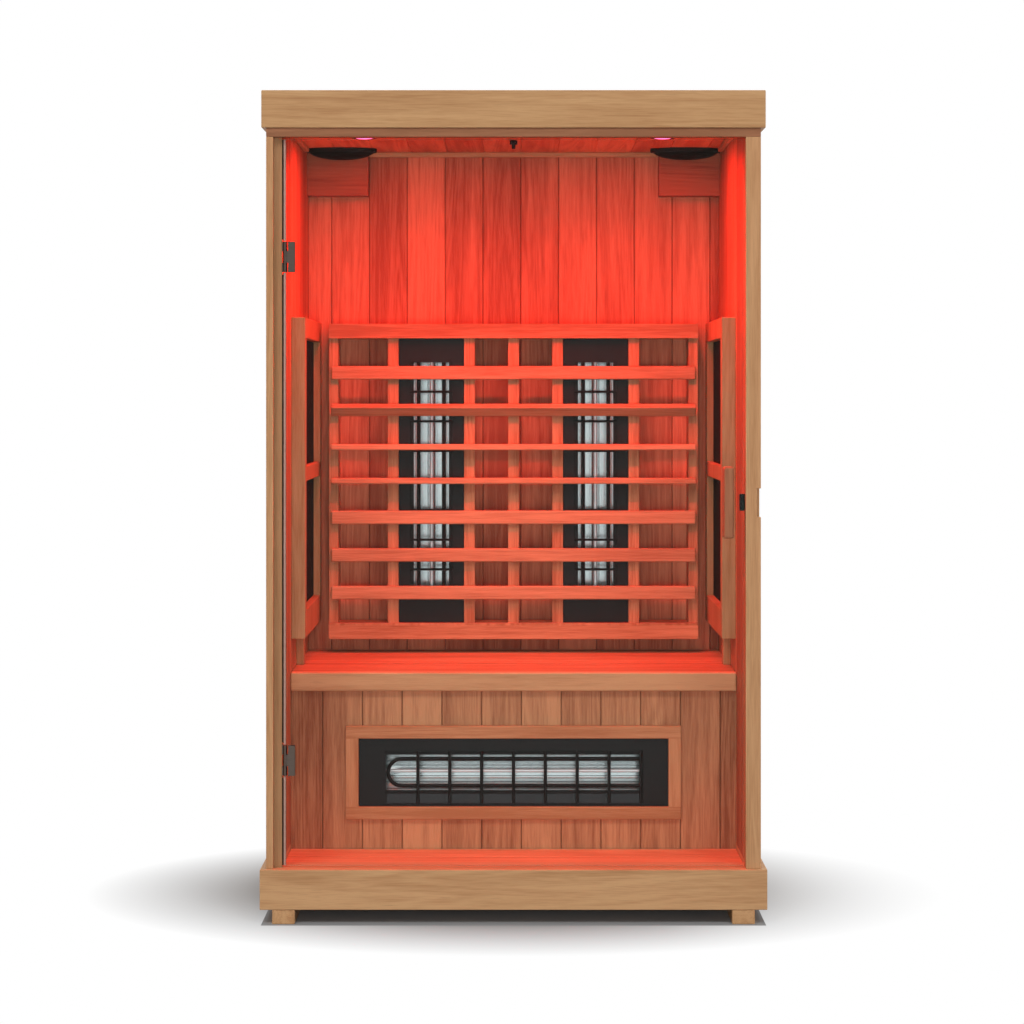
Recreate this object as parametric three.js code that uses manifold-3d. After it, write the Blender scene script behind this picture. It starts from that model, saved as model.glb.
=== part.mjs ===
// A two-seat infrared sauna cabin of cedar boards, with a frameless glass door.
// Millimetres, +Z up, the front towards -Y, the origin on the ground under the middle of the base.
import * as THREE from 'three';
import { mergeVertices } from 'three/addons/utils/BufferGeometryUtils.js';
import Module from 'manifold-3d';

const wasm = await Module();
wasm.setup();

// Base
const BASE_WIDTH = 1207;
const BASE_DEPTH = 1000;
const RUNNER_HEIGHT = 34;
const RUNNER_WIDTH = 54;
const RUNNER_SIDE_INSET = 29.5;
const RUNNER_END_INSET = 2;
const PLINTH_HEIGHT = 96;
const SILL_DEPTH = 105;
const FLOOR_DROP = 13;
const FLOOR_THICKNESS = 12;
const FLOOR_LEDGE = 20;

// Walls, front frame and roof
const WALL_INSET = 14.5;
const BACK_WALL_INSET = 18;
const PANEL_THICKNESS = 17;
const LINING_THICKNESS = 12;
const BOARD_WIDTH = 100;
const BACK_BOARD_WIDTH = 103.5;
const BOARD_OFFSET = 20;
const GROOVE_WIDTH = 4;
const GROOVE_DEPTH = 3;
const POST_WIDTH = 36;
const POST_DEPTH = 40;
const POST_SETBACK = 10;
const POST_LIP = 17;
const RABBET_DEPTH = 26;
const NOTCH_WIDTH = 9;
const NOTCH_HEIGHT = 68;
const OPENING_HEIGHT = 1743;
const HEADER_HEIGHT = 21;
const CEILING_RISE = 28;
const CEILING_THICKNESS = 12;
const DECK_THICKNESS = 12;
const CAP_RIM_HEIGHT = 37;
const CAP_RIM_THICKNESS = 22;
const CAP_OVERHANG = 11;
const CAP_FRONT_SETBACK = 3.5;

// Bench
const BENCH_HEIGHT = 446;
const BENCH_DEPTH = 606;
const SEAT_THICKNESS = 20;
const SEAT_BOARD_WIDTH = 87;
const SEAT_GROOVE_WIDTH = 8;
const SEAT_GROOVE_DEPTH = 6;
const NOSING_HEIGHT = 47;
const NOSING_DEPTH = 49;
const KICK_SETBACK = 20;
const KICK_THICKNESS = 15;
const BEARER_HEIGHT = 40;
const BEARER_THICKNESS = 22;

// Backrest and its slats
const BACKREST_DEPTH = 108;
const BACKREST_LIFT = 38;
const BACKREST_CEILING_GAP = 471;
const BACKREST_SIDE_GAP = 27;
const BACKREST_TOP_RAIL = 39;
const BACKREST_BOTTOM_RAIL = 43;
const BACKREST_STILE = 25;
const UPRIGHT_WIDTH = 29;
const UPRIGHT_DEPTH = 30;
const SLAT_HEIGHT = 36;
const SLAT_THICKNESS = 16;
const SLAT_END_GAP = 69.5;
const SLAT_END_INSET = 7;
const SLAT_TURNS = [0, 50, 90, 90, 0, 0, 0];
const SLAT_DROPS = [5.4, 6.7, 8, 0, 0, 2.7, 5.4];

// Heaters
const BACK_HEATER_SPACING = 444;
const BACK_HEATER_WIDTH = 176;
const BACK_WINDOW_WIDTH = 95;
const BACK_WINDOW_MARGIN = 64;
const BACK_HEATER_SETBACK = 6;
const HEATER_SHELL = 2;
const HEATER_TUBE_RADIUS = 6;
const HEATER_CAP_RADIUS = 11;
const HEATER_CAP_LENGTH = 20;
const HEATER_TUBE_SETBACK = 30;
const REFLECTOR_LIP = 6;
const REFLECTOR_THICKNESS = 3;
const GUARD_LOOP_SPACING = 68;
const GUARD_LOOP_WIDTH = 9;
const GUARD_LOOP_DEPTH = 8;
const GUARD_WIRE = 4;
const GUARD_WIRE_PITCH = 80;
const GUARD_WIRE_OVERLAP = 10;
const KICK_FRAME_END_MARGIN = 139;
const KICK_FRAME_LIFT = 76;
const KICK_FRAME_HEIGHT = 235;
const KICK_FRAME_RAIL = 32;
const KICK_FRAME_PROUD = 14;
const KICK_HEATER_RECESS = 8;
const KICK_HEATER_DEPTH = 92;
const KICK_WINDOW_WIDTH = 89;
const KICK_WINDOW_MARGIN = 68;
const SIDE_FRAME_THICKNESS = 35;
const SIDE_FRAME_FRONT = 33;
const SIDE_FRAME_LIFT = 81;
const SIDE_FRAME_CEILING_GAP = 467;
const SIDE_FRAME_STILE = 46;
const SIDE_FRAME_TOP_RAIL = 52;
const SIDE_FRAME_MID_RAIL = 38;
const SIDE_FRAME_BOTTOM_RAIL = 71;
const SIDE_FRAME_LEG_WIDTH = 20;
const SIDE_FRAME_LEG_DEPTH = 40;
const SIDE_FRAME_LEG_SETBACK = 157;
const SIDE_PANEL_RECESS = 18;

// Ceiling and roof fittings
const LAMP_TO_SIDE = 178;
const LAMP_TO_BACK = 468;
const LAMP_RADIUS = 38;
const LAMP_HEIGHT = 12;
const SPEAKER_RADIUS = 95;
const SPEAKER_HALF_DEPTH = 46;
const SPEAKER_HEIGHT = 30;
const SPEAKER_SIDE_GAP = 2;
const SPEAKER_BACK_GAP = 4;
const SPEAKER_BOX_WIDTH = 165;
const SPEAKER_BOX_DEPTH = 62;
const SPEAKER_BOX_HEIGHT = 122;
const SENSOR_RADIUS = 10;
const SENSOR_HEIGHT = 22;
const SENSOR_TO_BACK = 348;
const CONTROL_BOX_WIDTH = 300;
const CONTROL_BOX_DEPTH = 220;
const CONTROL_BOX_HEIGHT = 33;
const CONTROL_BOX_TO_RIM = 45;
const INLET_WIDTH = 48;
const INLET_HEIGHT = 22;
const INLET_DEPTH = 16;

// Door and its fittings
const GLASS_THICKNESS = 8;
const DOOR_GAP = 4;
const PIVOT_GAP = 7;
const PIVOT_TO_GLASS = 2;
const HINGE_HEIGHT = 72;
const HINGE_KNUCKLE = 28;
const HINGE_RADIUS = 5;
const HINGE_PIN_RADIUS = 2;
const HINGE_PLATE = 3;
const CLAMP_LENGTH = 16;
const CLAMP_PLATE = 4.5;
const CLAMP_ARM = 8;
const CLAMP_WEB = 7;
const LOWER_HINGE_RISE = 255;
const UPPER_HINGE_DROP = 285;
const HANDLE_LENGTH = 170;
const HANDLE_WIDTH = 24;
const HANDLE_DEPTH = 24;
const HANDLE_TO_EDGE = 36;
const CATCH_WIDTH = 12;
const CATCH_HEIGHT = 40;

// Clearances
const SEAT_CLEARANCE = 0.3;
const FIT_CLEARANCE = 0.5;

// Levels and faces that several pieces share
const frontY = -BASE_DEPTH / 2;
const backY = BASE_DEPTH / 2;
const plinthTop = RUNNER_HEIGHT + PLINTH_HEIGHT;
const floorTop = plinthTop - FLOOR_DROP;
const headerBottom = plinthTop + OPENING_HEIGHT;
const wallTop = headerBottom + HEADER_HEIGHT;
const ceilingBottom = wallTop + CEILING_RISE;
const ceilingTop = ceilingBottom + CEILING_THICKNESS;
const deckTop = ceilingTop + SEAT_CLEARANCE + DECK_THICKNESS;
const capTop = deckTop + CAP_RIM_HEIGHT;
const wallOuter = BASE_WIDTH / 2 - WALL_INSET;
const panelInner = wallOuter - PANEL_THICKNESS;
const liningInner = panelInner - LINING_THICKNESS;
const postFront = frontY + POST_SETBACK;
const postBack = postFront + POST_DEPTH;
const postInner = wallOuter - POST_WIDTH;
const backPanelOuter = backY - BACK_WALL_INSET;
const backPanelInner = backPanelOuter - PANEL_THICKNESS;
const backLining = backPanelInner - LINING_THICKNESS;
const benchTop = floorTop + BENCH_HEIGHT;
const benchFront = backLining - BENCH_DEPTH;
const seatBottom = benchTop - SEAT_THICKNESS;
const seatFront = benchFront + NOSING_DEPTH;
const nosingBottom = benchTop - NOSING_HEIGHT;
const kickFront = benchFront + KICK_SETBACK;
const kickBack = kickFront + KICK_THICKNESS;
const sideFrameInner = liningInner - SIDE_FRAME_THICKNESS;

const cabin = new THREE.Group();

const cedar = new THREE.MeshStandardMaterial({ color: 0xb88c62, roughness: 0.6, metalness: 0 });
const lining = new THREE.MeshStandardMaterial({ color: 0xb07850, roughness: 0.65, metalness: 0 });
const black = new THREE.MeshStandardMaterial({ color: 0x2a2828, roughness: 0.45, metalness: 0.2 });
const polished = new THREE.MeshStandardMaterial({ color: 0xc9d0d2, roughness: 0.15, metalness: 1 });
const ceramic = new THREE.MeshStandardMaterial({ color: 0xe8e6e0, roughness: 0.5, metalness: 0 });
const carbon = new THREE.MeshStandardMaterial({ color: 0x1c1a1a, roughness: 0.8, metalness: 0 });
const steel = new THREE.MeshStandardMaterial({ color: 0xb8bcc0, roughness: 0.3, metalness: 1 });
const lens = new THREE.MeshStandardMaterial({ color: 0xff5a9c, roughness: 0.3, metalness: 0 });
const clear = new THREE.MeshStandardMaterial({ color: 0xe9f4f1, roughness: 0.05, metalness: 0 });

// Only positions are kept, with shared corners merged, so that every geometry is one closed surface.
function welded(geometry) {
  const bare = new THREE.BufferGeometry();
  bare.setAttribute('position', geometry.getAttribute('position'));
  if (geometry.index) bare.setIndex(geometry.index);
  return mergeVertices(bare, 1e-4);
}

function addPiece(name, geometry, material, parent = cabin) {
  const surface = welded(geometry);
  surface.computeVertexNormals();
  const mesh = new THREE.Mesh(surface, material);
  mesh.name = name;
  parent.add(mesh);
  return mesh;
}

function block(x0, x1, y0, y1, z0, z1) {
  const geometry = new THREE.BoxGeometry(x1 - x0, y1 - y0, z1 - z0);
  return geometry.translate((x0 + x1) / 2, (y0 + y1) / 2, (z0 + z1) / 2);
}

function solidOf(geometry) {
  const surface = welded(geometry);
  const vertProperties = new Float32Array(surface.getAttribute('position').array);
  const triVerts = new Uint32Array(surface.index.array);
  return new wasm.Manifold(new wasm.Mesh({ numProp: 3, vertProperties, triVerts }));
}

function geometryOf(solid) {
  const mesh = solid.getMesh();
  const geometry = new THREE.BufferGeometry();
  geometry.setAttribute('position', new THREE.BufferAttribute(mesh.vertProperties, 3));
  geometry.setIndex(new THREE.BufferAttribute(mesh.triVerts, 1));
  return geometry;
}

function join(...geometries) {
  return geometryOf(geometries.map(solidOf).reduce((whole, next) => whole.add(next)));
}

function cut(geometry, ...tools) {
  return geometryOf(tools.map(solidOf).reduce((rest, tool) => rest.subtract(tool), solidOf(geometry)));
}

function shapeOf(points) {
  return new THREE.Shape(points.map(([u, v]) => new THREE.Vector2(u, v)));
}

function extruded(shape, length) {
  return new THREE.ExtrudeGeometry(shape, { depth: length, bevelEnabled: false, curveSegments: 12 });
}

const AXIS_X = new THREE.Vector3(1, 0, 0);
const AXIS_Y = new THREE.Vector3(0, 1, 0);
const AXIS_Z = new THREE.Vector3(0, 0, 1);

// Outlines of (x, y) points raised along Z, of (y, z) points drawn along X, of (x, z) points along Y.
function prismZ(points, z0, z1) {
  return extruded(shapeOf(points), z1 - z0).translate(0, 0, z0);
}

function prismX(points, x0, x1) {
  const turn = new THREE.Matrix4().makeBasis(AXIS_Y, AXIS_Z, AXIS_X);
  return extruded(shapeOf(points), x1 - x0).applyMatrix4(turn).translate(x0, 0, 0);
}

function prismY(points, y0, y1) {
  const turn = new THREE.Matrix4().makeBasis(AXIS_Z, AXIS_X, AXIS_Y);
  const outline = points.map(([x, z]) => [z, x]);
  return extruded(shapeOf(outline), y1 - y0).applyMatrix4(turn).translate(0, y0, 0);
}

// A round piece from (radius, height) points, standing on Z.
function turned(points, segments) {
  const profile = points.map(([radius, height]) => new THREE.Vector2(radius, height));
  return new THREE.LatheGeometry(profile, segments).rotateX(Math.PI / 2);
}

function upright(radius, z0, z1, x, y, segments) {
  const geometry = new THREE.CylinderGeometry(radius, radius, z1 - z0, segments).rotateX(Math.PI / 2);
  return geometry.translate(x, y, (z0 + z1) / 2);
}

// Joints between boards that lie inside a span, counted from one joint that is known.
function boardJoints(from, to, known, pitch) {
  const joints = [];
  const first = known + Math.ceil((from + GROOVE_WIDTH - known) / pitch) * pitch;
  for (let at = first; at < to - GROOVE_WIDTH; at += pitch) joints.push(at);
  return joints;
}

// The section of a boarded panel: flat at the back, V grooves cut in the face at each joint.
// Points run along the panel (u) and through its thickness (v), with the face at faceV.
function boardedSection(u0, u1, faceV, backV, joints, grooveWidth, grooveDepth) {
  const inward = Math.sign(backV - faceV);
  const points = [[u0, backV], [u0, faceV]];
  for (const joint of joints) {
    points.push([joint - grooveWidth / 2, faceV]);
    points.push([joint, faceV + inward * grooveDepth]);
    points.push([joint + grooveWidth / 2, faceV]);
  }
  points.push([u1, faceV], [u1, backV]);
  return points;
}

// Base: two runners, the plinth ring with its floor ledge, and the boarded floor
const runnerOuter = BASE_WIDTH / 2 - RUNNER_SIDE_INSET;
for (const [name, side] of [['runner_left', -1], ['runner_right', 1]]) {
  const middle = side * (runnerOuter - RUNNER_WIDTH / 2);
  addPiece(name, block(middle - RUNNER_WIDTH / 2, middle + RUNNER_WIDTH / 2,
    frontY + RUNNER_END_INSET, backY - RUNNER_END_INSET, 0, RUNNER_HEIGHT), cedar);
}

const sillBack = frontY + SILL_DEPTH;
const floorBottom = floorTop - FLOOR_THICKNESS;
addPiece('plinth', cut(
  block(-BASE_WIDTH / 2, BASE_WIDTH / 2, frontY, backY, RUNNER_HEIGHT, plinthTop),
  block(-liningInner, liningInner, sillBack, backLining, floorBottom, plinthTop + FLOOR_DROP),
  block(-liningInner + FLOOR_LEDGE, liningInner - FLOOR_LEDGE, sillBack + FLOOR_LEDGE,
    backLining - FLOOR_LEDGE, RUNNER_HEIGHT - FLOOR_DROP, plinthTop),
), cedar);

const floorFront = sillBack + FIT_CLEARANCE;
const floorBack = backLining - FIT_CLEARANCE;
const floorJoints = boardJoints(floorFront, floorBack, backLining, BOARD_WIDTH);
addPiece('floor_panel', prismX(
  boardedSection(floorFront, floorBack, floorTop, floorBottom, floorJoints, GROOVE_WIDTH, GROOVE_DEPTH),
  -liningInner + FIT_CLEARANCE, liningInner - FIT_CLEARANCE), lining);

// Walls: plain outer panels standing on the plinth, lined with grooved boards
const sideJoints = boardJoints(postBack, backPanelInner, backLining, BOARD_WIDTH);
for (const [name, side] of [['left', -1], ['right', 1]]) {
  const panelX = [side * panelInner, side * wallOuter].sort((a, b) => a - b);
  addPiece(`${name}_wall_panel`,
    block(...panelX, postBack, backPanelOuter, plinthTop, wallTop), cedar);
  const section = boardedSection(postBack, backPanelInner, side * liningInner, side * panelInner,
    sideJoints, GROOVE_WIDTH, GROOVE_DEPTH);
  addPiece(`${name}_wall_lining`,
    prismZ(section.map(([y, x]) => [x, y]), plinthTop, ceilingBottom), lining);
}
addPiece('back_wall_panel',
  block(-panelInner, panelInner, backPanelInner, backPanelOuter, plinthTop, wallTop), cedar);
const backJoints = boardJoints(-liningInner, liningInner, BOARD_OFFSET, BACK_BOARD_WIDTH);
addPiece('back_wall_lining', prismZ(
  boardedSection(-liningInner, liningInner, backLining, backPanelInner, backJoints,
    GROOVE_WIDTH, GROOVE_DEPTH), plinthTop, ceilingBottom), lining);

// Front frame: the left post has a rabbet that carries the hinges, the right post a finger notch
const rabbetFace = postFront + RABBET_DEPTH;
const lipInner = wallOuter - POST_LIP;
const doorMiddle = plinthTop + OPENING_HEIGHT / 2;
addPiece('left_post', prismZ([
  [-wallOuter, postFront], [-lipInner, postFront], [-lipInner, rabbetFace],
  [-postInner, rabbetFace], [-postInner, postBack], [-wallOuter, postBack],
], plinthTop, headerBottom), cedar);
addPiece('right_post', prismY([
  [postInner, plinthTop], [wallOuter, plinthTop],
  [wallOuter, doorMiddle - NOTCH_HEIGHT / 2], [wallOuter - NOTCH_WIDTH, doorMiddle - NOTCH_HEIGHT / 2],
  [wallOuter - NOTCH_WIDTH, doorMiddle + NOTCH_HEIGHT / 2], [wallOuter, doorMiddle + NOTCH_HEIGHT / 2],
  [wallOuter, headerBottom], [postInner, headerBottom],
], postFront, postBack), cedar);
addPiece('header_rail',
  block(-wallOuter, wallOuter, postFront, postBack, headerBottom, wallTop), cedar);

// Roof: boarded ceiling on the linings, and the cap that covers the wall tops with a raised rim
const ceilingJoints = boardJoints(-panelInner, panelInner, BOARD_OFFSET, BOARD_WIDTH);
addPiece('ceiling_panel', prismY(
  boardedSection(-panelInner, panelInner, ceilingBottom, ceilingTop, ceilingJoints,
    GROOVE_WIDTH, GROOVE_DEPTH), postBack + SEAT_CLEARANCE, backPanelInner), lining);

const capOuter = wallOuter + CAP_OVERHANG;
const capFront = frontY + CAP_FRONT_SETBACK;
const capBack = backY - CAP_FRONT_SETBACK;
const recessSide = panelInner + SEAT_CLEARANCE;
addPiece('roof_cap', cut(
  block(-capOuter, capOuter, capFront, capBack, wallTop, capTop),
  block(-recessSide, recessSide, postBack, backPanelInner + SEAT_CLEARANCE,
    headerBottom, ceilingTop + SEAT_CLEARANCE),
  block(-capOuter + CAP_RIM_THICKNESS, capOuter - CAP_RIM_THICKNESS, capFront + CAP_RIM_THICKNESS,
    capBack - CAP_RIM_THICKNESS, deckTop, capTop + CAP_RIM_HEIGHT),
), cedar);

// Bench: a T-shaped bearer, the seat boards, the nosing and the boarded kick panel
const benchSide = liningInner - FIT_CLEARANCE;
const seatBack = backLining - FIT_CLEARANCE;
addPiece('bench_frame', join(
  block(-benchSide, benchSide, kickBack + SEAT_CLEARANCE, kickBack + BEARER_THICKNESS,
    nosingBottom - BEARER_HEIGHT, nosingBottom),
  block(-benchSide, benchSide, seatFront, seatFront + BEARER_THICKNESS,
    seatBottom - BEARER_HEIGHT, seatBottom),
  block(-BEARER_THICKNESS, BEARER_THICKNESS, kickBack + SEAT_CLEARANCE, seatBack,
    seatBottom - BEARER_HEIGHT, nosingBottom),
  block(-BEARER_THICKNESS, BEARER_THICKNESS, seatFront, seatBack, seatBottom - BEARER_HEIGHT, seatBottom),
), lining);

const seatJoints = boardJoints(seatFront + SEAT_BOARD_WIDTH / 2, seatBack, seatFront, SEAT_BOARD_WIDTH);
addPiece('bench_seat', prismX(
  boardedSection(seatFront, seatBack, benchTop, seatBottom, seatJoints,
    SEAT_GROOVE_WIDTH, SEAT_GROOVE_DEPTH), -benchSide, benchSide), lining);
addPiece('bench_nosing',
  block(-benchSide, benchSide, benchFront, seatFront, nosingBottom, benchTop), cedar);

const kickFrameX = liningInner - KICK_FRAME_END_MARGIN;
const kickFrameBottom = floorTop + KICK_FRAME_LIFT;
const kickFrameTop = kickFrameBottom + KICK_FRAME_HEIGHT;
const kickHoleX = kickFrameX - KICK_FRAME_RAIL;
const kickHoleBottom = kickFrameBottom + KICK_FRAME_RAIL;
const kickHoleTop = kickFrameTop - KICK_FRAME_RAIL;
const kickJoints = boardJoints(-benchSide, benchSide, BOARD_OFFSET, BOARD_WIDTH);
addPiece('bench_kick_panel', cut(
  prismZ(boardedSection(-benchSide, benchSide, kickFront, kickBack, kickJoints,
    GROOVE_WIDTH, GROOVE_DEPTH), floorTop, nosingBottom),
  block(-kickHoleX, kickHoleX, kickFront - KICK_THICKNESS, kickBack + KICK_THICKNESS,
    kickHoleBottom, kickHoleTop),
), lining);

// A rod heater: a sheet-metal tray with a window, a trough reflector, a ceramic rod and a wire guard.
// It lies along its own Z, faces -Y, and has its origin in the middle of its front face.
function addHeater(name, size, parent) {
  const { width, length, depth, windowWidth, windowLength } = size;
  const halfInside = length / 2 - HEATER_SHELL;
  addPiece(`${name}_housing`, cut(
    block(-width / 2, width / 2, 0, depth, -length / 2, length / 2),
    block(-width / 2 + HEATER_SHELL, width / 2 - HEATER_SHELL, HEATER_SHELL, depth - HEATER_SHELL,
      -halfInside, halfInside),
    block(-windowWidth / 2, windowWidth / 2, -HEATER_SHELL, 2 * HEATER_SHELL,
      -windowLength / 2, windowLength / 2),
  ), black, parent);

  const lipX = windowWidth / 2 + REFLECTOR_LIP;
  const lipY = HEATER_SHELL + SEAT_CLEARANCE;
  const troughY = depth - HEATER_SHELL - SEAT_CLEARANCE;
  const steps = 12;
  const outside = [];
  const inside = [];
  for (let i = 0; i <= steps; i += 1) {
    const across = 2 * i / steps - 1;
    const y = troughY - (troughY - lipY - REFLECTOR_THICKNESS) * across * across;
    outside.push([across * lipX, y]);
    inside.unshift([across * lipX, y - REFLECTOR_THICKNESS]);
  }
  const reflectorEnd = windowLength / 2 + REFLECTOR_LIP;
  addPiece(`${name}_reflector`, prismZ([...outside, ...inside], -reflectorEnd, reflectorEnd),
    polished, parent);

  const rodEnd = halfInside - SEAT_CLEARANCE;
  const capEnd = rodEnd - HEATER_CAP_LENGTH;
  addPiece(`${name}_tube`, turned([
    [0, -rodEnd], [HEATER_CAP_RADIUS, -rodEnd], [HEATER_CAP_RADIUS, -capEnd], [HEATER_TUBE_RADIUS, -capEnd],
    [HEATER_TUBE_RADIUS, capEnd], [HEATER_CAP_RADIUS, capEnd], [HEATER_CAP_RADIUS, rodEnd], [0, rodEnd],
  ], 16).translate(0, HEATER_TUBE_SETBACK, 0), ceramic, parent);

  const loopOuter = (GUARD_LOOP_SPACING + GUARD_LOOP_WIDTH) / 2;
  const loopInner = (GUARD_LOOP_SPACING - GUARD_LOOP_WIDTH) / 2;
  const loopTop = windowLength / 2 - SEAT_CLEARANCE;
  const bendCentre = -windowLength / 2 + loopOuter + SEAT_CLEARANCE;
  const loop = new THREE.Shape();
  loop.moveTo(loopTop, loopOuter);
  loop.lineTo(bendCentre, loopOuter);
  loop.absarc(bendCentre, 0, loopOuter, Math.PI / 2, 3 * Math.PI / 2, false);
  loop.lineTo(loopTop, -loopOuter);
  loop.lineTo(loopTop, -loopInner);
  loop.lineTo(bendCentre, -loopInner);
  loop.absarc(bendCentre, 0, loopInner, 3 * Math.PI / 2, Math.PI / 2, true);
  loop.lineTo(loopTop, loopInner);
  const lay = new THREE.Matrix4().makeBasis(AXIS_Z, AXIS_X, AXIS_Y);
  const hairpin = extruded(loop, GUARD_LOOP_DEPTH).applyMatrix4(lay)
    .translate(0, -SEAT_CLEARANCE - GUARD_WIRE / 2, 0);
  const wireSpan = windowWidth + 2 * GUARD_WIRE_OVERLAP;
  const wireY = -SEAT_CLEARANCE - GUARD_WIRE / 2;
  const wires = boardJoints(bendCentre, loopTop - GUARD_WIRE, 0, GUARD_WIRE_PITCH).map((z) => {
    const wire = new THREE.CylinderGeometry(GUARD_WIRE / 2, GUARD_WIRE / 2, wireSpan, 8);
    return wire.rotateZ(Math.PI / 2).translate(0, wireY, z);
  });
  addPiece(`${name}_guard`, join(hairpin, ...wires), black, parent);
}

// Heater under the bench, lying across the cabin in its cedar frame
const kickFrameFront = kickFront - KICK_FRAME_PROUD;
addPiece('kick_heater_frame', cut(
  block(-kickFrameX, kickFrameX, kickFrameFront, kickFront, kickFrameBottom, kickFrameTop),
  block(-kickHoleX, kickHoleX, kickFrameFront - KICK_FRAME_PROUD, kickBack, kickHoleBottom, kickHoleTop),
), cedar);
const kickHeater = new THREE.Group();
kickHeater.position.set(0, kickFrameFront + KICK_HEATER_RECESS, (kickHoleBottom + kickHoleTop) / 2);
kickHeater.rotation.y = Math.PI / 2;
cabin.add(kickHeater);
const kickHeaterLength = 2 * (kickHoleX - FIT_CLEARANCE);
addHeater('kick_heater', {
  width: kickHoleTop - kickHoleBottom - 2 * FIT_CLEARANCE,
  length: kickHeaterLength,
  depth: KICK_HEATER_DEPTH,
  windowWidth: KICK_WINDOW_WIDTH,
  windowLength: kickHeaterLength - 2 * KICK_WINDOW_MARGIN,
}, kickHeater);

// Backrest: a deep frame on the back wall, with uprights on both sides of each heater
const restX = sideFrameInner - BACKREST_SIDE_GAP;
const restFront = backLining - BACKREST_DEPTH;
const restBottom = benchTop + BACKREST_LIFT;
const restTop = ceilingBottom - BACKREST_CEILING_GAP;
const railTop = restBottom + BACKREST_BOTTOM_RAIL;
const railBottom = restTop - BACKREST_TOP_RAIL;
const slatBack = restFront + SLAT_THICKNESS;
const heaterReach = BACK_HEATER_WIDTH / 2 + FIT_CLEARANCE + UPRIGHT_WIDTH / 2;
const heaterX = BACK_HEATER_SPACING / 2;
const uprightPlaces = [-heaterX - heaterReach, -heaterX + heaterReach, 0, heaterX - heaterReach,
  heaterX + heaterReach];
const lap = BACKREST_BOTTOM_RAIL / 4;
addPiece('backrest_frame', join(
  block(-restX, restX, restFront, backLining, restBottom, railTop),
  block(-restX, restX, restFront, backLining, railBottom, restTop),
  ...[-1, 1].map((side) => {
    const middle = side * (restX - BACKREST_STILE / 2);
    return block(middle - BACKREST_STILE / 2, middle + BACKREST_STILE / 2, slatBack, backLining,
      railTop - lap, railBottom + lap);
  }),
  ...uprightPlaces.map((x) => block(x - UPRIGHT_WIDTH / 2, x + UPRIGHT_WIDTH / 2, slatBack,
    slatBack + UPRIGHT_DEPTH, railTop - lap, railBottom + lap)),
), lining);

// Slats across the backrest: most stand on edge, the shoulder ones are turned towards lying flat,
// and some sit a little below an even spacing
const slatCount = SLAT_TURNS.length;
const slatPitch = (railBottom - railTop - SLAT_HEIGHT - 2 * SLAT_END_GAP) / (slatCount - 1);
SLAT_TURNS.forEach((degrees, i) => {
  const turn = THREE.MathUtils.degToRad(degrees);
  const reach = (SLAT_HEIGHT * Math.sin(turn) + SLAT_THICKNESS * Math.cos(turn)) / 2;
  const slat = addPiece(`backrest_slat_${i + 1}`, block(-restX + SLAT_END_INSET, restX - SLAT_END_INSET,
    -SLAT_THICKNESS / 2, SLAT_THICKNESS / 2, -SLAT_HEIGHT / 2, SLAT_HEIGHT / 2), lining);
  const top = railBottom - SLAT_END_GAP - SLAT_HEIGHT / 2;
  slat.position.set(0, slatBack - SEAT_CLEARANCE - reach, top - i * slatPitch - SLAT_DROPS[i]);
  slat.rotation.x = turn;
});

// Heaters behind the backrest, standing upright on the back wall
const heaterFront = slatBack + BACK_HEATER_SETBACK;
const backHeaterLength = railBottom - railTop - 2 * FIT_CLEARANCE;
for (const [name, side] of [['back_heater_left', -1], ['back_heater_right', 1]]) {
  const backHeater = new THREE.Group();
  backHeater.position.set(side * heaterX, heaterFront, (railBottom + railTop) / 2);
  cabin.add(backHeater);
  addHeater(name, {
    width: BACK_HEATER_WIDTH,
    length: backHeaterLength,
    depth: backLining - heaterFront - SEAT_CLEARANCE,
    windowWidth: BACK_WINDOW_WIDTH,
    windowLength: backHeaterLength - 2 * BACK_WINDOW_MARGIN,
  }, backHeater);
}

// Side heaters: a framed carbon panel on each wall, with a leg that stands on the bench
const sideFront = benchFront + SIDE_FRAME_FRONT;
const sideBack = backLining - SEAT_CLEARANCE;
const sideBottom = benchTop + SIDE_FRAME_LIFT;
const sideTop = ceilingBottom - SIDE_FRAME_CEILING_GAP;
const holeFront = sideFront + SIDE_FRAME_STILE;
const holeBack = sideBack - SIDE_FRAME_STILE;
const holeBottom = sideBottom + SIDE_FRAME_BOTTOM_RAIL;
const holeTop = sideTop - SIDE_FRAME_TOP_RAIL;
const holeMiddle = (holeBottom + holeTop) / 2;
for (const [name, side] of [['left', -1], ['right', 1]]) {
  const across = (x0, x1) => [side * x0, side * x1].sort((a, b) => a - b);
  const midLap = SIDE_FRAME_STILE / 4;
  const legFront = sideFront + SIDE_FRAME_LEG_SETBACK;
  const legLap = SIDE_FRAME_BOTTOM_RAIL / 4;
  const ring = cut(
    block(...across(sideFrameInner, liningInner), sideFront, sideBack, sideBottom, sideTop),
    block(...across(sideFrameInner - SIDE_PANEL_RECESS, liningInner + SIDE_PANEL_RECESS),
      holeFront, holeBack, holeBottom, holeTop),
  );
  addPiece(`${name}_side_heater_frame`, join(
    ring,
    block(...across(sideFrameInner, sideFrameInner + SIDE_PANEL_RECESS), holeFront - midLap,
      holeBack + midLap, holeMiddle - SIDE_FRAME_MID_RAIL / 2, holeMiddle + SIDE_FRAME_MID_RAIL / 2),
    block(...across(liningInner - SIDE_FRAME_LEG_WIDTH, liningInner), legFront,
      legFront + SIDE_FRAME_LEG_DEPTH, benchTop, sideBottom + legLap),
  ), cedar);
  addPiece(`${name}_side_heater_panel`, block(
    ...across(sideFrameInner + SIDE_PANEL_RECESS + SEAT_CLEARANCE, liningInner - SEAT_CLEARANCE),
    holeFront + FIT_CLEARANCE, holeBack - FIT_CLEARANCE,
    holeBottom + FIT_CLEARANCE, holeTop - FIT_CLEARANCE), carbon);
}

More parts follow.
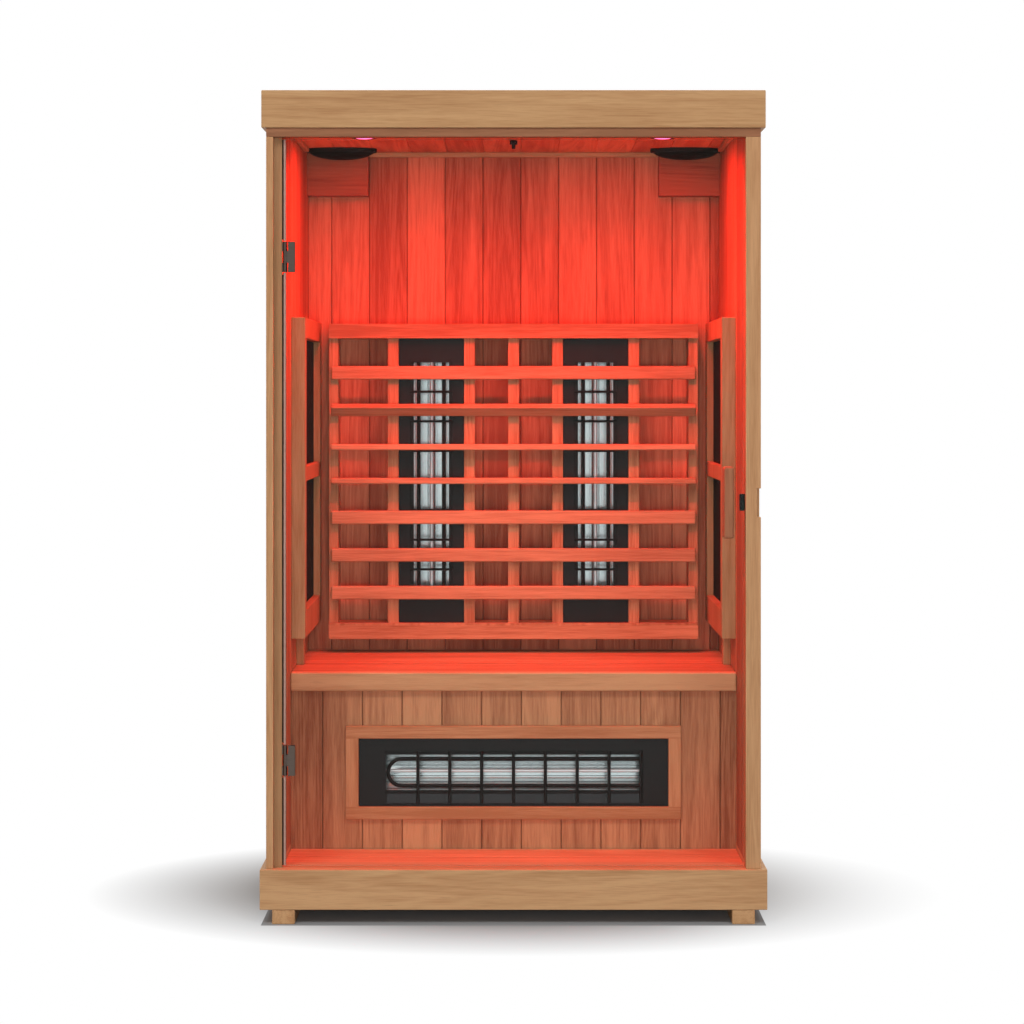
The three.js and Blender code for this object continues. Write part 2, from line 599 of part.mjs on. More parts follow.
// Ceiling fittings: colour-light lamps, corner boxes, oval domed speakers and the temperature sensor
const speakerX = liningInner - SPEAKER_SIDE_GAP - SPEAKER_RADIUS;
const boxFront = backLining - SPEAKER_BOX_DEPTH;
const speakerY = boxFront - SPEAKER_BACK_GAP - SPEAKER_HALF_DEPTH;
const speakerDome = [[0, -SPEAKER_HEIGHT]];
const domeSteps = 6;
const speakerRim = SPEAKER_HEIGHT / 4;
for (let i = 1; i <= domeSteps; i += 1) {
  const swing = i / domeSteps * Math.PI / 2;
  const drop = speakerRim + (SPEAKER_HEIGHT - speakerRim) * Math.cos(swing);
  speakerDome.push([SPEAKER_RADIUS * Math.sin(swing), -drop]);
}
speakerDome.push([SPEAKER_RADIUS, 0], [0, 0]);
const lampRim = LAMP_HEIGHT / 3;
const lensRadius = LAMP_RADIUS - LAMP_HEIGHT;
for (const [name, side] of [['left', -1], ['right', 1]]) {
  addPiece(`ceiling_lamp_${name}`, turned([
    [0, -LAMP_HEIGHT], [lensRadius, -LAMP_HEIGHT], [LAMP_RADIUS, -lampRim], [LAMP_RADIUS, 0], [0, 0],
  ], 32).translate(side * (liningInner - LAMP_TO_SIDE), backLining - LAMP_TO_BACK, ceilingBottom), lens);
  const boxX = [side * liningInner, side * (liningInner - SPEAKER_BOX_WIDTH)].sort((a, b) => a - b);
  addPiece(`speaker_box_${name}`, block(...boxX, boxFront, backLining,
    ceilingBottom - SPEAKER_BOX_HEIGHT, ceilingBottom), lining);
  addPiece(`speaker_${name}`, turned(speakerDome, 40).scale(1, SPEAKER_HALF_DEPTH / SPEAKER_RADIUS, 1)
    .translate(side * speakerX, speakerY, ceilingBottom), black);
}
const sensorTip = SENSOR_RADIUS / 2;
addPiece('temperature_sensor', turned([
  [0, -SENSOR_HEIGHT], [sensorTip, -SENSOR_HEIGHT], [sensorTip, -SENSOR_HEIGHT / 2],
  [SENSOR_RADIUS, -SENSOR_HEIGHT / 2], [SENSOR_RADIUS, 0], [0, 0],
], 24).translate(0, backLining - SENSOR_TO_BACK, ceilingBottom), black);

// Supply and control box on the roof deck, with the mains inlet recessed in its rear face
const boxRear = capBack - CAP_RIM_THICKNESS - CONTROL_BOX_TO_RIM;
const inletMiddle = deckTop + CONTROL_BOX_HEIGHT / 2;
addPiece('control_box', cut(
  block(-CONTROL_BOX_WIDTH / 2, CONTROL_BOX_WIDTH / 2, boxRear - CONTROL_BOX_DEPTH, boxRear,
    deckTop, deckTop + CONTROL_BOX_HEIGHT),
  block(-INLET_WIDTH / 2, INLET_WIDTH / 2, boxRear - INLET_DEPTH, boxRear + INLET_DEPTH,
    inletMiddle - INLET_HEIGHT / 2, inletMiddle + INLET_HEIGHT / 2),
), black);

// Door: one sheet of glass between the posts, notched where the hinge clamps hold its left edge
const pivotX = -postInner + PIVOT_GAP;
const pivotY = rabbetFace;
const glassLeft = pivotX + PIVOT_TO_GLASS;
const glassRight = postInner - DOOR_GAP;
const glassBottom = plinthTop + DOOR_GAP;
const glassTop = headerBottom - DOOR_GAP;
const glassFront = pivotY - GLASS_THICKNESS / 2;
const glassBack = pivotY + GLASS_THICKNESS / 2;
const webLeft = pivotX + CLAMP_ARM;
const notchRight = webLeft + CLAMP_WEB + SEAT_CLEARANCE;
const hinges = [
  ['lower_hinge', plinthTop + LOWER_HINGE_RISE],
  ['upper_hinge', headerBottom - UPPER_HINGE_DROP],
];
const glassOutline = [[glassRight, glassTop], [glassRight, glassBottom], [glassLeft, glassBottom]];
for (const [, middle] of hinges) {
  const bottom = middle - HINGE_HEIGHT / 2 - FIT_CLEARANCE;
  const top = middle + HINGE_HEIGHT / 2 + FIT_CLEARANCE;
  glassOutline.push([glassLeft, bottom], [notchRight, bottom], [notchRight, top], [glassLeft, top]);
}
glassOutline.push([glassLeft, glassTop]);
addPiece('door_glass', prismY(glassOutline, glassFront, glassBack), clear);

// Hinges: a bracket with the pin on the post's inner face, and a clamp with the knuckle on the glass
for (const [name, middle] of hinges) {
  const bottom = middle - HINGE_HEIGHT / 2;
  const top = middle + HINGE_HEIGHT / 2;
  const knuckleBottom = middle - HINGE_KNUCKLE / 2;
  const knuckleTop = middle + HINGE_KNUCKLE / 2;
  const armFront = pivotY - HINGE_PLATE / 2;
  const ends = [[bottom, knuckleBottom - SEAT_CLEARANCE], [knuckleTop + SEAT_CLEARANCE, top]];
  addPiece(`${name}_bracket`, join(
    ...ends.map(([z0, z1]) => block(-postInner, -postInner + HINGE_PLATE, armFront, postBack, z0, z1)),
    ...ends.map(([z0, z1]) => block(-postInner, pivotX, armFront, armFront + HINGE_PLATE, z0, z1)),
    ...ends.map(([z0, z1]) => upright(HINGE_RADIUS, z0, z1, pivotX, pivotY, 20)),
    upright(HINGE_PIN_RADIUS, bottom + HINGE_PLATE, top - HINGE_PLATE, pivotX, pivotY, 16),
  ), steel);

  const clampRight = webLeft + CLAMP_LENGTH;
  const cheekFront = glassFront - SEAT_CLEARANCE;
  const cheekBack = glassBack + SEAT_CLEARANCE;
  const armHalf = GLASS_THICKNESS / 2 - SEAT_CLEARANCE;
  const pinRoom = HINGE_PIN_RADIUS + SEAT_CLEARANCE;
  addPiece(`${name}_clamp`, cut(
    join(
      block(webLeft, clampRight, cheekFront - CLAMP_PLATE, cheekFront, bottom, top),
      block(webLeft, clampRight, cheekBack, cheekBack + CLAMP_PLATE, bottom, top),
      block(webLeft, webLeft + CLAMP_WEB, cheekFront - CLAMP_PLATE / 2, cheekBack + CLAMP_PLATE / 2,
        bottom, top),
      block(pivotX, webLeft + CLAMP_WEB / 2, pivotY - armHalf, pivotY + armHalf, knuckleBottom, knuckleTop),
      upright(HINGE_RADIUS, knuckleBottom, knuckleTop, pivotX, pivotY, 20),
    ),
    upright(pinRoom, knuckleBottom - HINGE_PLATE, knuckleTop + HINGE_PLATE, pivotX, pivotY, 16),
  ), steel);
}

// Cedar pulls on both faces of the glass, and the magnetic catch on the right post
const handleRight = glassRight - HANDLE_TO_EDGE + HANDLE_WIDTH / 2;
const handleBottom = doorMiddle - HANDLE_LENGTH / 2;
const handleTop = doorMiddle + HANDLE_LENGTH / 2;
addPiece('door_handle_outer', block(handleRight - HANDLE_WIDTH, handleRight,
  glassFront - SEAT_CLEARANCE - HANDLE_DEPTH, glassFront - SEAT_CLEARANCE, handleBottom, handleTop), cedar);
addPiece('door_handle_inner', block(handleRight - HANDLE_WIDTH, handleRight,
  glassBack + SEAT_CLEARANCE, glassBack + SEAT_CLEARANCE + HANDLE_DEPTH, handleBottom, handleTop), cedar);
addPiece('door_catch', block(postInner - CATCH_WIDTH, postInner, glassBack + SEAT_CLEARANCE, postBack,
  doorMiddle - CATCH_HEIGHT / 2, doorMiddle + CATCH_HEIGHT / 2), black);

export default cabin;
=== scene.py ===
import bpy
import math
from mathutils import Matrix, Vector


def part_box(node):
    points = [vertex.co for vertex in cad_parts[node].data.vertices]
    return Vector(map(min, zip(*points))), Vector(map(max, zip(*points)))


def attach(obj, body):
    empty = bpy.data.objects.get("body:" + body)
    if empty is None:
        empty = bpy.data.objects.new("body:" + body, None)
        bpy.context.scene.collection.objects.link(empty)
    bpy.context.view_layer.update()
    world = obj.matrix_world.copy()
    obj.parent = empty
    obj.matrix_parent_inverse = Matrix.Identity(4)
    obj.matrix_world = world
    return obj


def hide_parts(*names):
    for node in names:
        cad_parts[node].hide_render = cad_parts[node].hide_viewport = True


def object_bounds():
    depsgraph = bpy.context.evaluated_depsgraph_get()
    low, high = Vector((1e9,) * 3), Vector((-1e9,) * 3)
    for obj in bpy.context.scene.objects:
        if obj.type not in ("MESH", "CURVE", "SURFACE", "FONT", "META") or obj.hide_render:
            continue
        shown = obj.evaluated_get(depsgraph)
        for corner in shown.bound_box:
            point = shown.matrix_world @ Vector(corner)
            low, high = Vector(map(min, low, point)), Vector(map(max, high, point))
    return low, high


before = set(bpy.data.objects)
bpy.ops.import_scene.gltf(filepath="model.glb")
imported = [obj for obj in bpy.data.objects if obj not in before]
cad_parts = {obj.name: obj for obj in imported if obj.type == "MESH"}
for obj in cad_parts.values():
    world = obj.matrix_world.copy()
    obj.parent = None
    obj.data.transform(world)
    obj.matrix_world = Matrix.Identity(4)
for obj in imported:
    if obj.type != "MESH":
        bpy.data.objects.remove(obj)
cad_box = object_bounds()
scene = bpy.context.scene
scene.view_settings.view_transform = "Standard"

# Studio: a level camera far in front of the cabin, a pale floor that holds its shadow, and a white room.
# Round the cabin the floor stays grey, a painted shadow over its real one, and it turns white further out.
# Soft lamps stand in front of it and above. The lens and the shift give the photograph's frame.
FRAME_PIXELS = 1024
SENSOR = 36.0
CAMERA_TO_FRONT = 6.3
EYE_HEIGHT = 1.251
PIXELS_PER_METRE = 420.8
EYE_PIXEL = (513.5, 398.0)
FAR_CLIP = 100
WHITE = (1.0, 1.0, 1.0)

camera = bpy.data.objects.new("camera", bpy.data.cameras.new("camera"))
camera.location = (0.0, cad_box[0][1] - CAMERA_TO_FRONT, EYE_HEIGHT)
camera.rotation_euler = (math.radians(90), 0, 0)
camera.data.sensor_width = SENSOR
camera.data.lens = PIXELS_PER_METRE * CAMERA_TO_FRONT * SENSOR / FRAME_PIXELS
camera.data.shift_x = (FRAME_PIXELS / 2 - EYE_PIXEL[0]) / FRAME_PIXELS
camera.data.shift_y = (EYE_PIXEL[1] - FRAME_PIXELS / 2) / FRAME_PIXELS
camera.data.clip_end = FAR_CLIP
scene.collection.objects.link(camera)
scene.camera = camera


def linear(red, green, blue):
    """A colour read as 0 to 255 display values, as the linear light that shaders take."""
    parts = [c / 255 for c in (red, green, blue)]
    return tuple(c / 12.92 if c <= 0.04045 else ((c + 0.055) / 1.055) ** 2.4 for c in parts)


def put(socket, value):
    """Links a Signal to a socket, or sets a plain number or colour on it."""
    if isinstance(value, Signal):
        value.tree.links.new(value.socket, socket)
    elif isinstance(value, tuple) and len(value) == 3 and socket.type == "RGBA":
        socket.default_value = (*value, 1)
    else:
        socket.default_value = value


class Signal:
    """A socket of a node tree that takes part in Python arithmetic."""

    def __init__(self, tree, socket=None):
        self.tree = tree
        self.socket = socket

    def node(self, kind, settings=None, values=None, out=0):
        """Adds any node, sets its properties and inputs, and gives one of its outputs."""
        made = self.tree.nodes.new(kind)
        for key, value in (settings or {}).items():
            setattr(made, key, value)
        for key, value in (values or {}).items():
            put(made.inputs[key], value)
        return Signal(self.tree, made.outputs[out])

    def output(self, which):
        """Another output of the node that this one comes from."""
        return Signal(self.tree, self.socket.node.outputs[which])

    def math(self, operation, first, second=0.0):
        return self.node("ShaderNodeMath", {"operation": operation}, {0: first, 1: second})

    def __add__(self, other):
        return self.math("ADD", self, other)

    def __sub__(self, other):
        return self.math("SUBTRACT", self, other)

    def __rsub__(self, other):
        return self.math("SUBTRACT", other, self)

    def __mul__(self, other):
        return self.math("MULTIPLY", self, other)

    def __truediv__(self, other):
        return self.math("DIVIDE", self, other)

    def __gt__(self, other):
        return self.math("GREATER_THAN", self, other)

    def __lt__(self, other):
        return self.math("LESS_THAN", self, other)

    __radd__ = __add__
    __rmul__ = __mul__

    def floor(self):
        return self.math("FLOOR", self)

    def size(self):
        return self.math("ABSOLUTE", self)

    def clamp(self):
        return self.node("ShaderNodeClamp", None, {0: self})

    def between(self, low, high):
        return self.node("ShaderNodeMix", {"data_type": "RGBA"}, {0: self, 6: low, 7: high}, out=2)

    def place(self):
        """Where a point lies in the object's own frame."""
        return self.node("ShaderNodeTexCoord", out="Object")

    def axes(self, vector):
        """The three numbers of a vector."""
        first = self.node("ShaderNodeSeparateXYZ", None, {0: vector})
        return first, first.output(1), first.output(2)

    def noise(self, place, scale, detail=2.0, distortion=0.0):
        values = {"Vector": place, "Scale": scale, "Detail": detail, "Distortion": distortion}
        return self.node("ShaderNodeTexNoise", None, values)

    def bump(self, height, strength, distance):
        values = {"Height": height, "Strength": strength, "Distance": distance}
        return self.node("ShaderNodeBump", None, values)


def new_finish(name):
    """A material with an empty tree: its Signal, its principled shader's inputs and itself."""
    material = bpy.data.materials.new(name)
    material.use_nodes = True
    tree = material.node_tree
    return Signal(tree), tree.nodes["Principled BSDF"].inputs, material


def feed(inputs, **values):
    """Sets a shader's sockets; an underscore in a key stands for a space."""
    for key, value in values.items():
        put(inputs[key.replace("_", " ")], value)


def mesh_piece(name, points, faces, smooth=False):
    mesh = bpy.data.meshes.new(name)
    mesh.from_pydata(points, [], faces)
    mesh.update()
    for polygon in mesh.polygons:
        polygon.use_smooth = smooth
    piece = bpy.data.objects.new(name, mesh)
    scene.collection.objects.link(piece)
    return piece


FLOOR_REACH = 14.0
FLOOR_TONE = linear(170, 172, 174)
FLOOR_ROUGH = 0.9
SHADOW_REACH = (0.978, 0.735)
SHADOW_MIDDLE = -0.049
WHITE_FROM = 0.59
WHITE_BY = 1.104
RIGHT_PAINTED_LIGHT = 0.67
RIGHT_FROM = 0.35
RIGHT_BY = 1.0
UNDER_EDGE = 0.004
FRONT_EDGE = 0.014

floor_signal, floor_inputs, floor_finish = new_finish("studio_floor")
feed(floor_inputs, Base_Color=FLOOR_TONE, Roughness=FLOOR_ROUGH)
floor_x, floor_y = floor_signal.axes(floor_signal.place())[:2]
# Painted shadow: the floor stays grey inside an ellipse round the cabin and under it, and fades to white
# outside it. Painted light lifts it towards white on the right side.
across = floor_x / SHADOW_REACH[0]
deep = (floor_y - SHADOW_MIDDLE) / SHADOW_REACH[1]
spread = floor_signal.math("SQRT", across * across + deep * deep)
beside = (floor_x.size() > cad_box[1][0] - UNDER_EDGE) + (floor_y > cad_box[1][1] - UNDER_EDGE)
clear = beside + (floor_y < cad_box[0][1] - FRONT_EDGE)
outside = ((spread - WHITE_FROM) / (WHITE_BY - WHITE_FROM)).clamp()
painted_light_right = ((floor_x - RIGHT_FROM) / (RIGHT_BY - RIGHT_FROM)).clamp() * RIGHT_PAINTED_LIGHT
to_white = (outside + painted_light_right * (1 - outside)) * clear.clamp()
floor_path = floor_signal.node("ShaderNodeLightPath", out="Is Camera Ray")
seen = (floor_path + floor_path.output("Is Glossy Ray") + floor_path.output("Is Transmission Ray")).clamp()
glow = floor_signal.node("ShaderNodeEmission", None, {0: WHITE, 1: 1.0})
shaded = Signal(floor_signal.tree, floor_signal.tree.nodes["Principled BSDF"].outputs[0])
floor_mix = floor_signal.node("ShaderNodeMixShader", None, {0: to_white * seen, 1: shaded, 2: glow})
put(floor_signal.tree.nodes["Material Output"].inputs[0], floor_mix)
floor_corners = [(x * FLOOR_REACH, y * FLOOR_REACH, 0) for x, y in ((-1, -1), (1, -1), (1, 1), (-1, 1))]
floor = mesh_piece("studio_floor", floor_corners, [(0, 1, 2, 3)])
floor.data.materials.append(floor_finish)

ROOM_LIGHT = 0.24
world = bpy.data.worlds.new("white_room")
world.use_nodes = True
scene.world = world
room = Signal(world.node_tree)
room_path = room.node("ShaderNodeLightPath", out="Is Camera Ray")
shows = (room_path + room_path.output("Is Glossy Ray") + room_path.output("Is Transmission Ray")).clamp()
dim = room.node("ShaderNodeBackground", None, {0: WHITE, 1: ROOM_LIGHT})
bright = room.node("ShaderNodeBackground", None, {0: WHITE, 1: 1.0})
room_mix = room.node("ShaderNodeMixShader", None, {0: shows, 1: dim, 2: bright})
put(room.tree.nodes["World Output"].inputs[0], room_mix)


def soft_lamp(name, place, aim, width, height, power, colour=WHITE):
    """A rectangular lamp that points from its place at its aim, and is itself unseen."""
    data = bpy.data.lights.new(name, "AREA")
    data.shape = "RECTANGLE"
    data.size = width
    data.size_y = height
    data.energy = power
    data.color = colour
    lamp = bpy.data.objects.new(name, data)
    lamp.location = place
    direction = [a - p for a, p in zip(aim, place)]
    flat = math.hypot(direction[0], direction[1])
    lamp.rotation_euler = (math.atan2(flat, -direction[2]), 0, math.atan2(-direction[0], direction[1]))
    lamp.visible_camera = False
    lamp.visible_glossy = False
    scene.collection.objects.link(lamp)
    return lamp


for name, place, aim, size, power in (("key_lamp_left", (-2.2, -5.0, 5.2), (0, -0.3, 0.8), 1.6, 99),
                                      ("key_lamp_right", (2.2, -5.0, 5.2), (0, -0.3, 0.8), 1.6, 91),
                                      ("front_lamp", (0, -6.4, 0.9), (0, -0.3, 0.7), 1.4, 122)):
    soft_lamp(name, place, aim, size, size, power)

# Lamps for the sides, back and roof leave the floor and its shadow alone.
SIDE_LAMP_SIZE = 1.8
SIDE_LAMP_AIM = (0, 0, 1.0)
off_floor = bpy.data.collections.new("off_the_floor")
off_floor.objects.link(floor)
off_floor.collection_objects[0].light_linking.link_state = "EXCLUDE"
for name, place, power in (("left_lamp", (-4.2, 0.6, 2.4), 95), ("right_lamp", (4.2, 0.6, 2.4), 95),
                           ("back_lamp", (0.6, 4.6, 2.4), 105), ("roof_lamp", (0.3, 0.5, 6.2), 90)):
    side_lamp = soft_lamp(name, place, SIDE_LAMP_AIM, SIDE_LAMP_SIZE, SIDE_LAMP_SIZE, power)
    side_lamp.light_linking.receiver_collection = off_floor

# Cedar: planed, unvarnished softwood in many shades from straw to red brown. The fibres run along each
# board, growth rings show as long flames, and neighbouring boards never match.
CEDAR_PALE = linear(200, 156, 112)
CEDAR_DEEP = linear(164, 116, 76)
GRAIN_STRETCH = 0.05
SHADE_STEP = 12.9898
SHADE_MIX = 437.585
GRAIN_SHIFT = 9.0
FLAME_SCALE = 9.0
FLAME_TURN = 0.8
RING_COUNT = 85.0
FIBRE_SCALE = 330.0
BROAD_SCALE = 5.0
STRIP_SCALE = 48.0
BROAD_SHARE = 1.1
RING_SHARE = 0.12
FIBRE_SHARE = 1.3
STREAK_FROM = 0.11
STREAK_GAIN = 6.0
STREAK_DARK = 0.35
JOINT_LINE = 0.0013
JOINT_DARK = 0.6
RECESS_SHADE_DARK = 0.4
DARKEST = 0.4
FIBRE_RISE = 0.6
GRAIN_BUMP = 0.25
GRAIN_DEPTH = 0.0006
CEDAR_ROUGH = 0.55
FIBRE_ROUGH = 0.3
CEDAR_GLOSS = 0.35
PANEL_EASE = 0.0012
WELD_GAP = 0.00002
FLAT_ANGLE = 0.5
EASE_ANGLE = 30


def stretched(signal, parts, along, shift):
    """Coordinates drawn out along the fibres and moved by a shift, so that no two boards agree."""
    x, y, z = [p * (GRAIN_STRETCH if axis == along else 1.0) + shift for axis, p in enumerate(parts)]
    return signal.node("ShaderNodeCombineXYZ", None, {0: x, 1: y, 2: z})


def cedar_finish(name, pale, deep, along, boards=None, corner=None, spread=0.5, recess_shade=None, seed=7.3,
                 line=JOINT_LINE):
    """along is the fibres' axis; boards is (axis, width, known joint); corner is (other axis, mask);
    recess_shade is (axis, place), past which the wood is darkened with painted shade; line is half a joint's
    width."""
    signal, inputs, material = new_finish(name)
    parts = signal.axes(signal.place())
    if boards:
        axis, width, joint = boards
        count = (parts[axis] - joint) / width
        number = count.floor()
        mixed = signal.math("SINE", number * SHADE_STEP + seed) * SHADE_MIX
        chance = mixed - mixed.floor()
    else:
        chance = signal.node("ShaderNodeObjectInfo", out="Random")
    shift = chance * GRAIN_SHIFT
    lines = stretched(signal, parts, along, shift)
    if corner:
        other, mask = corner
        turned = stretched(signal, parts, other, shift)
        lines = signal.node("ShaderNodeMix", {"data_type": "VECTOR"}, {0: mask(parts), 4: lines, 5: turned},
                            out=1)
    rings = signal.math("SINE", signal.noise(lines, FLAME_SCALE, 2.0, FLAME_TURN) * RING_COUNT)
    fibres = signal.noise(lines, FIBRE_SCALE, 4.0) - 0.5
    broad = signal.noise(lines, BROAD_SCALE, 2.0) - 0.5
    strips = signal.noise(lines, STRIP_SCALE, 1.0) - 0.5
    figure = broad * BROAD_SHARE + strips + rings * RING_SHARE + fibres * FIBRE_SHARE
    tone = (chance - 0.5) * spread + figure + 0.5
    streak = ((fibres - STREAK_FROM) * STREAK_GAIN).clamp() * STREAK_DARK
    if boards:
        edge = 0.5 - (count - number - 0.5).size()
        streak = streak + (edge * width < line) * JOINT_DARK
    if recess_shade:
        # Painted shade: the wood past this place, such as a set-back rabbet, is darkened.
        streak = streak + (parts[recess_shade[0]] > recess_shade[1]) * RECESS_SHADE_DARK
    colour = streak.clamp().between(tone.clamp().between(deep, pale), tuple(c * DARKEST for c in deep))
    grain = signal.bump(fibres * FIBRE_RISE + rings * RING_SHARE, GRAIN_BUMP, GRAIN_DEPTH)
    feed(inputs, Base_Color=colour, Roughness=fibres * FIBRE_ROUGH + CEDAR_ROUGH, Normal=grain,
         Specular_IOR_Level=CEDAR_GLOSS)
    return material


def dress(node, material, bevel=PANEL_EASE):
    """Gives a CAD piece its finish and eases its arrises, with its own mesh left as it is."""
    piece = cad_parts[node]
    piece.data.materials.clear()
    piece.data.materials.append(material)
    weld = piece.modifiers.new("weld", "WELD")
    weld.merge_threshold = WELD_GAP
    flatten = piece.modifiers.new("flatten", "DECIMATE")
    flatten.decimate_type = "DISSOLVE"
    flatten.angle_limit = math.radians(FLAT_ANGLE)
    ease = piece.modifiers.new("ease", "BEVEL")
    ease.width = bevel
    ease.segments = 2
    ease.limit_method = "ANGLE"
    ease.angle_limit = math.radians(EASE_ANGLE)


# Base: two solid cedar runners carry a plinth of wide planed boards, mitred at the corners. The plinth is
# glued and screwed from inside, so no fixing shows.
X, Y, Z = 0, 1, 2
PLINTH_RIM = 0.5
BASE_EASE = 0.002


def mitre(node, rim):
    """A mask that is 1 on the side boards of a mitred ring and 0 elsewhere; rim is the boards' depth."""
    low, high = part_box(node)
    half_x = (high[0] - low[0]) / 2
    half_y = (high[1] - low[1]) / 2

    def mask(parts):
        on_side = (parts[X].size() - half_x) > (parts[Y].size() - half_y)
        return on_side * (parts[X].size() > half_x - rim)
    return mask


plinth_cedar = cedar_finish("plinth_cedar", CEDAR_PALE, CEDAR_DEEP, X,
                            corner=(Y, mitre("plinth", PLINTH_RIM)))
runner_cedar = cedar_finish("runner_cedar", CEDAR_PALE, CEDAR_DEEP, Y)
dress("plinth", plinth_cedar, BASE_EASE)
for node in ("runner_left", "runner_right"):
    dress(node, runner_cedar, BASE_EASE)

# Boards: tongue-and-groove cedar linings on the walls, floor and ceiling, each board of its own shade.
# They are pinned through the tongues, so only the V joints show.
BOARD_WIDTH = 0.1
BACK_BOARD_WIDTH = 0.1035
BOARD_JOINT = 0.02
BOARD_EASE = 0.0006
back_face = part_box("back_wall_lining")[0][1]
back_boards = cedar_finish("back_boards", linear(204, 126, 92), linear(148, 74, 50), Z,
                           (X, BACK_BOARD_WIDTH, BOARD_JOINT), spread=0.6, seed=146.83)
kick_boards = cedar_finish("kick_boards", linear(204, 146, 104), linear(140, 82, 54), Z,
                           (X, BOARD_WIDTH, BOARD_JOINT), spread=0.8, seed=404.52)
side_boards = cedar_finish("side_boards", linear(196, 138, 98), linear(138, 80, 52), Z,
                           (Y, BOARD_WIDTH, back_face))
# Painted light: the floor's cedar is paler than the other linings, and stands for the light that falls on the
# cabin floor.
floor_boards_lit = cedar_finish("floor_boards_lit", linear(228, 164, 118), linear(184, 118, 80), X,
                            (Y, BOARD_WIDTH, back_face), spread=0.4)
ceiling_boards = cedar_finish("ceiling_boards", linear(228, 150, 107), linear(174, 94, 62), Y,
                              (X, BOARD_WIDTH, BOARD_JOINT), line=0.0)
for node, boards in (("back_wall_lining", back_boards), ("bench_kick_panel", kick_boards),
                     ("floor_panel", floor_boards_lit), ("ceiling_panel", ceiling_boards),
                     ("left_wall_lining", side_boards), ("right_wall_lining", side_boards)):
    dress(node, boards, BOARD_EASE)

# Outer walls and front frame: wide planed cedar panels stand on the plinth between two posts and the
# header, under the mitred cap. The left post has a rabbet, set back and darkened with painted shade past its
# planed face.
RABBET_SET = 0.012
CAP_RIM = 0.03
PANEL_SPREAD = 0.35
wall_cedar = cedar_finish("wall_cedar", CEDAR_PALE, CEDAR_DEEP, Z, (Y, BOARD_WIDTH, back_face),
                          spread=PANEL_SPREAD)
rear_cedar = cedar_finish("rear_cedar", CEDAR_PALE, CEDAR_DEEP, Z, (X, BOARD_WIDTH, BOARD_JOINT),
                          spread=PANEL_SPREAD)
# Painted shade darkens the left post's rabbet behind its front face.
post_cedar = cedar_finish("post_cedar", linear(204, 157, 114), linear(168, 120, 80), Z,
                          recess_shade=(Y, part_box("left_post")[0][1] + RABBET_SET))
# Painted shade: the header's cedar is darker than the cap's and the posts', and stands for the shadow under
# the cap's overhang.
header_cedar_shaded = cedar_finish("header_cedar_shaded", linear(172, 118, 86), linear(136, 90, 62), X)
cap_cedar = cedar_finish("cap_cedar", linear(192, 150, 106), linear(158, 112, 72), X,
                         corner=(Y, mitre("roof_cap", CAP_RIM)))
for side in ("left", "right"):
    dress(f"{side}_wall_panel", wall_cedar)
    dress(f"{side}_post", post_cedar)
dress("back_wall_panel", rear_cedar)
dress("header_rail", header_cedar_shaded)
dress("roof_cap", cap_cedar, BASE_EASE)

# Bench: cedar boards laid across the cabin on a hidden bearer, glued to a deep planed nosing. The joints
# are open, so they read as dark lines.
SEAT_BOARD_WIDTH = 0.174
SEAT_LINE = 0.006
SEAT_EASE = 0.0015
NOSING_EASE = 0.004
seat_boards = cedar_finish("seat_boards", linear(212, 154, 112), linear(166, 104, 70), X,
                           (Y, SEAT_BOARD_WIDTH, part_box("bench_seat")[0][1]), spread=0.35, line=SEAT_LINE)
rail_cedar = cedar_finish("rail_cedar", CEDAR_PALE, CEDAR_DEEP, X)
dress("bench_seat", seat_boards, SEAT_EASE)
dress("bench_nosing", rail_cedar, NOSING_EASE)
dress("bench_frame", rail_cedar)

# Backrest and side heater frames: jointed from planed cedar battens, with seven slats screwed across the
# uprights of the backrest. The speaker boxes take a darker cedar tone.
SLAT_COUNT = 7
REST_EASE = 0.0015
SLAT_EASE = 0.003
FRAME_EASE = 0.002
UPRIGHT_HALF = 0.388


def middle_of(node):
    low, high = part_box(node)
    return [(a + b) / 2 for a, b in zip(low, high)]


rest_middle = middle_of("backrest_frame")[Z]
rest_battens = cedar_finish("rest_battens", linear(208, 150, 108), linear(154, 96, 64), X,
                            corner=(Z, lambda parts: (parts[Z] - rest_middle).size() < UPRIGHT_HALF))
slat_cedar = cedar_finish("slat_cedar", linear(206, 150, 110), linear(160, 104, 72), X, spread=0.3)
stile_cedar = cedar_finish("stile_cedar", CEDAR_PALE, CEDAR_DEEP, Z)
corner_cedar = cedar_finish("corner_cedar", linear(164, 92, 65), linear(124, 60, 41), X)
dress("backrest_frame", rest_battens, REST_EASE)
for number in range(1, SLAT_COUNT + 1):
    dress(f"backrest_slat_{number}", slat_cedar, SLAT_EASE)
for side in ("left", "right"):
    dress(f"{side}_side_heater_frame", stile_cedar, FRAME_EASE)
    dress(f"speaker_box_{side}", corner_cedar, REST_EASE)

# Bench heater frame: two long cedar rails with short stiles between them, screwed over the tray's edge.
# The grain stands upright on the stiles.
FRAME_RAIL = 0.032
frame_low, frame_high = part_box("kick_heater_frame")
frame_middle = middle_of("kick_heater_frame")[Z]
stile_half = (frame_high[2] - frame_low[2]) / 2 - FRAME_RAIL


def between_rails(parts):
    """1 on the upright stiles of the frame, whose rails run through."""
    on_stile = parts[X].size() > frame_high[0] - FRAME_RAIL
    return on_stile * ((parts[Z] - frame_middle).size() < stile_half)


frame_cedar = cedar_finish("frame_cedar", linear(206, 154, 110), linear(168, 112, 74), X,
                           corner=(Z, between_rails))
dress("kick_heater_frame", frame_cedar, FRAME_EASE)

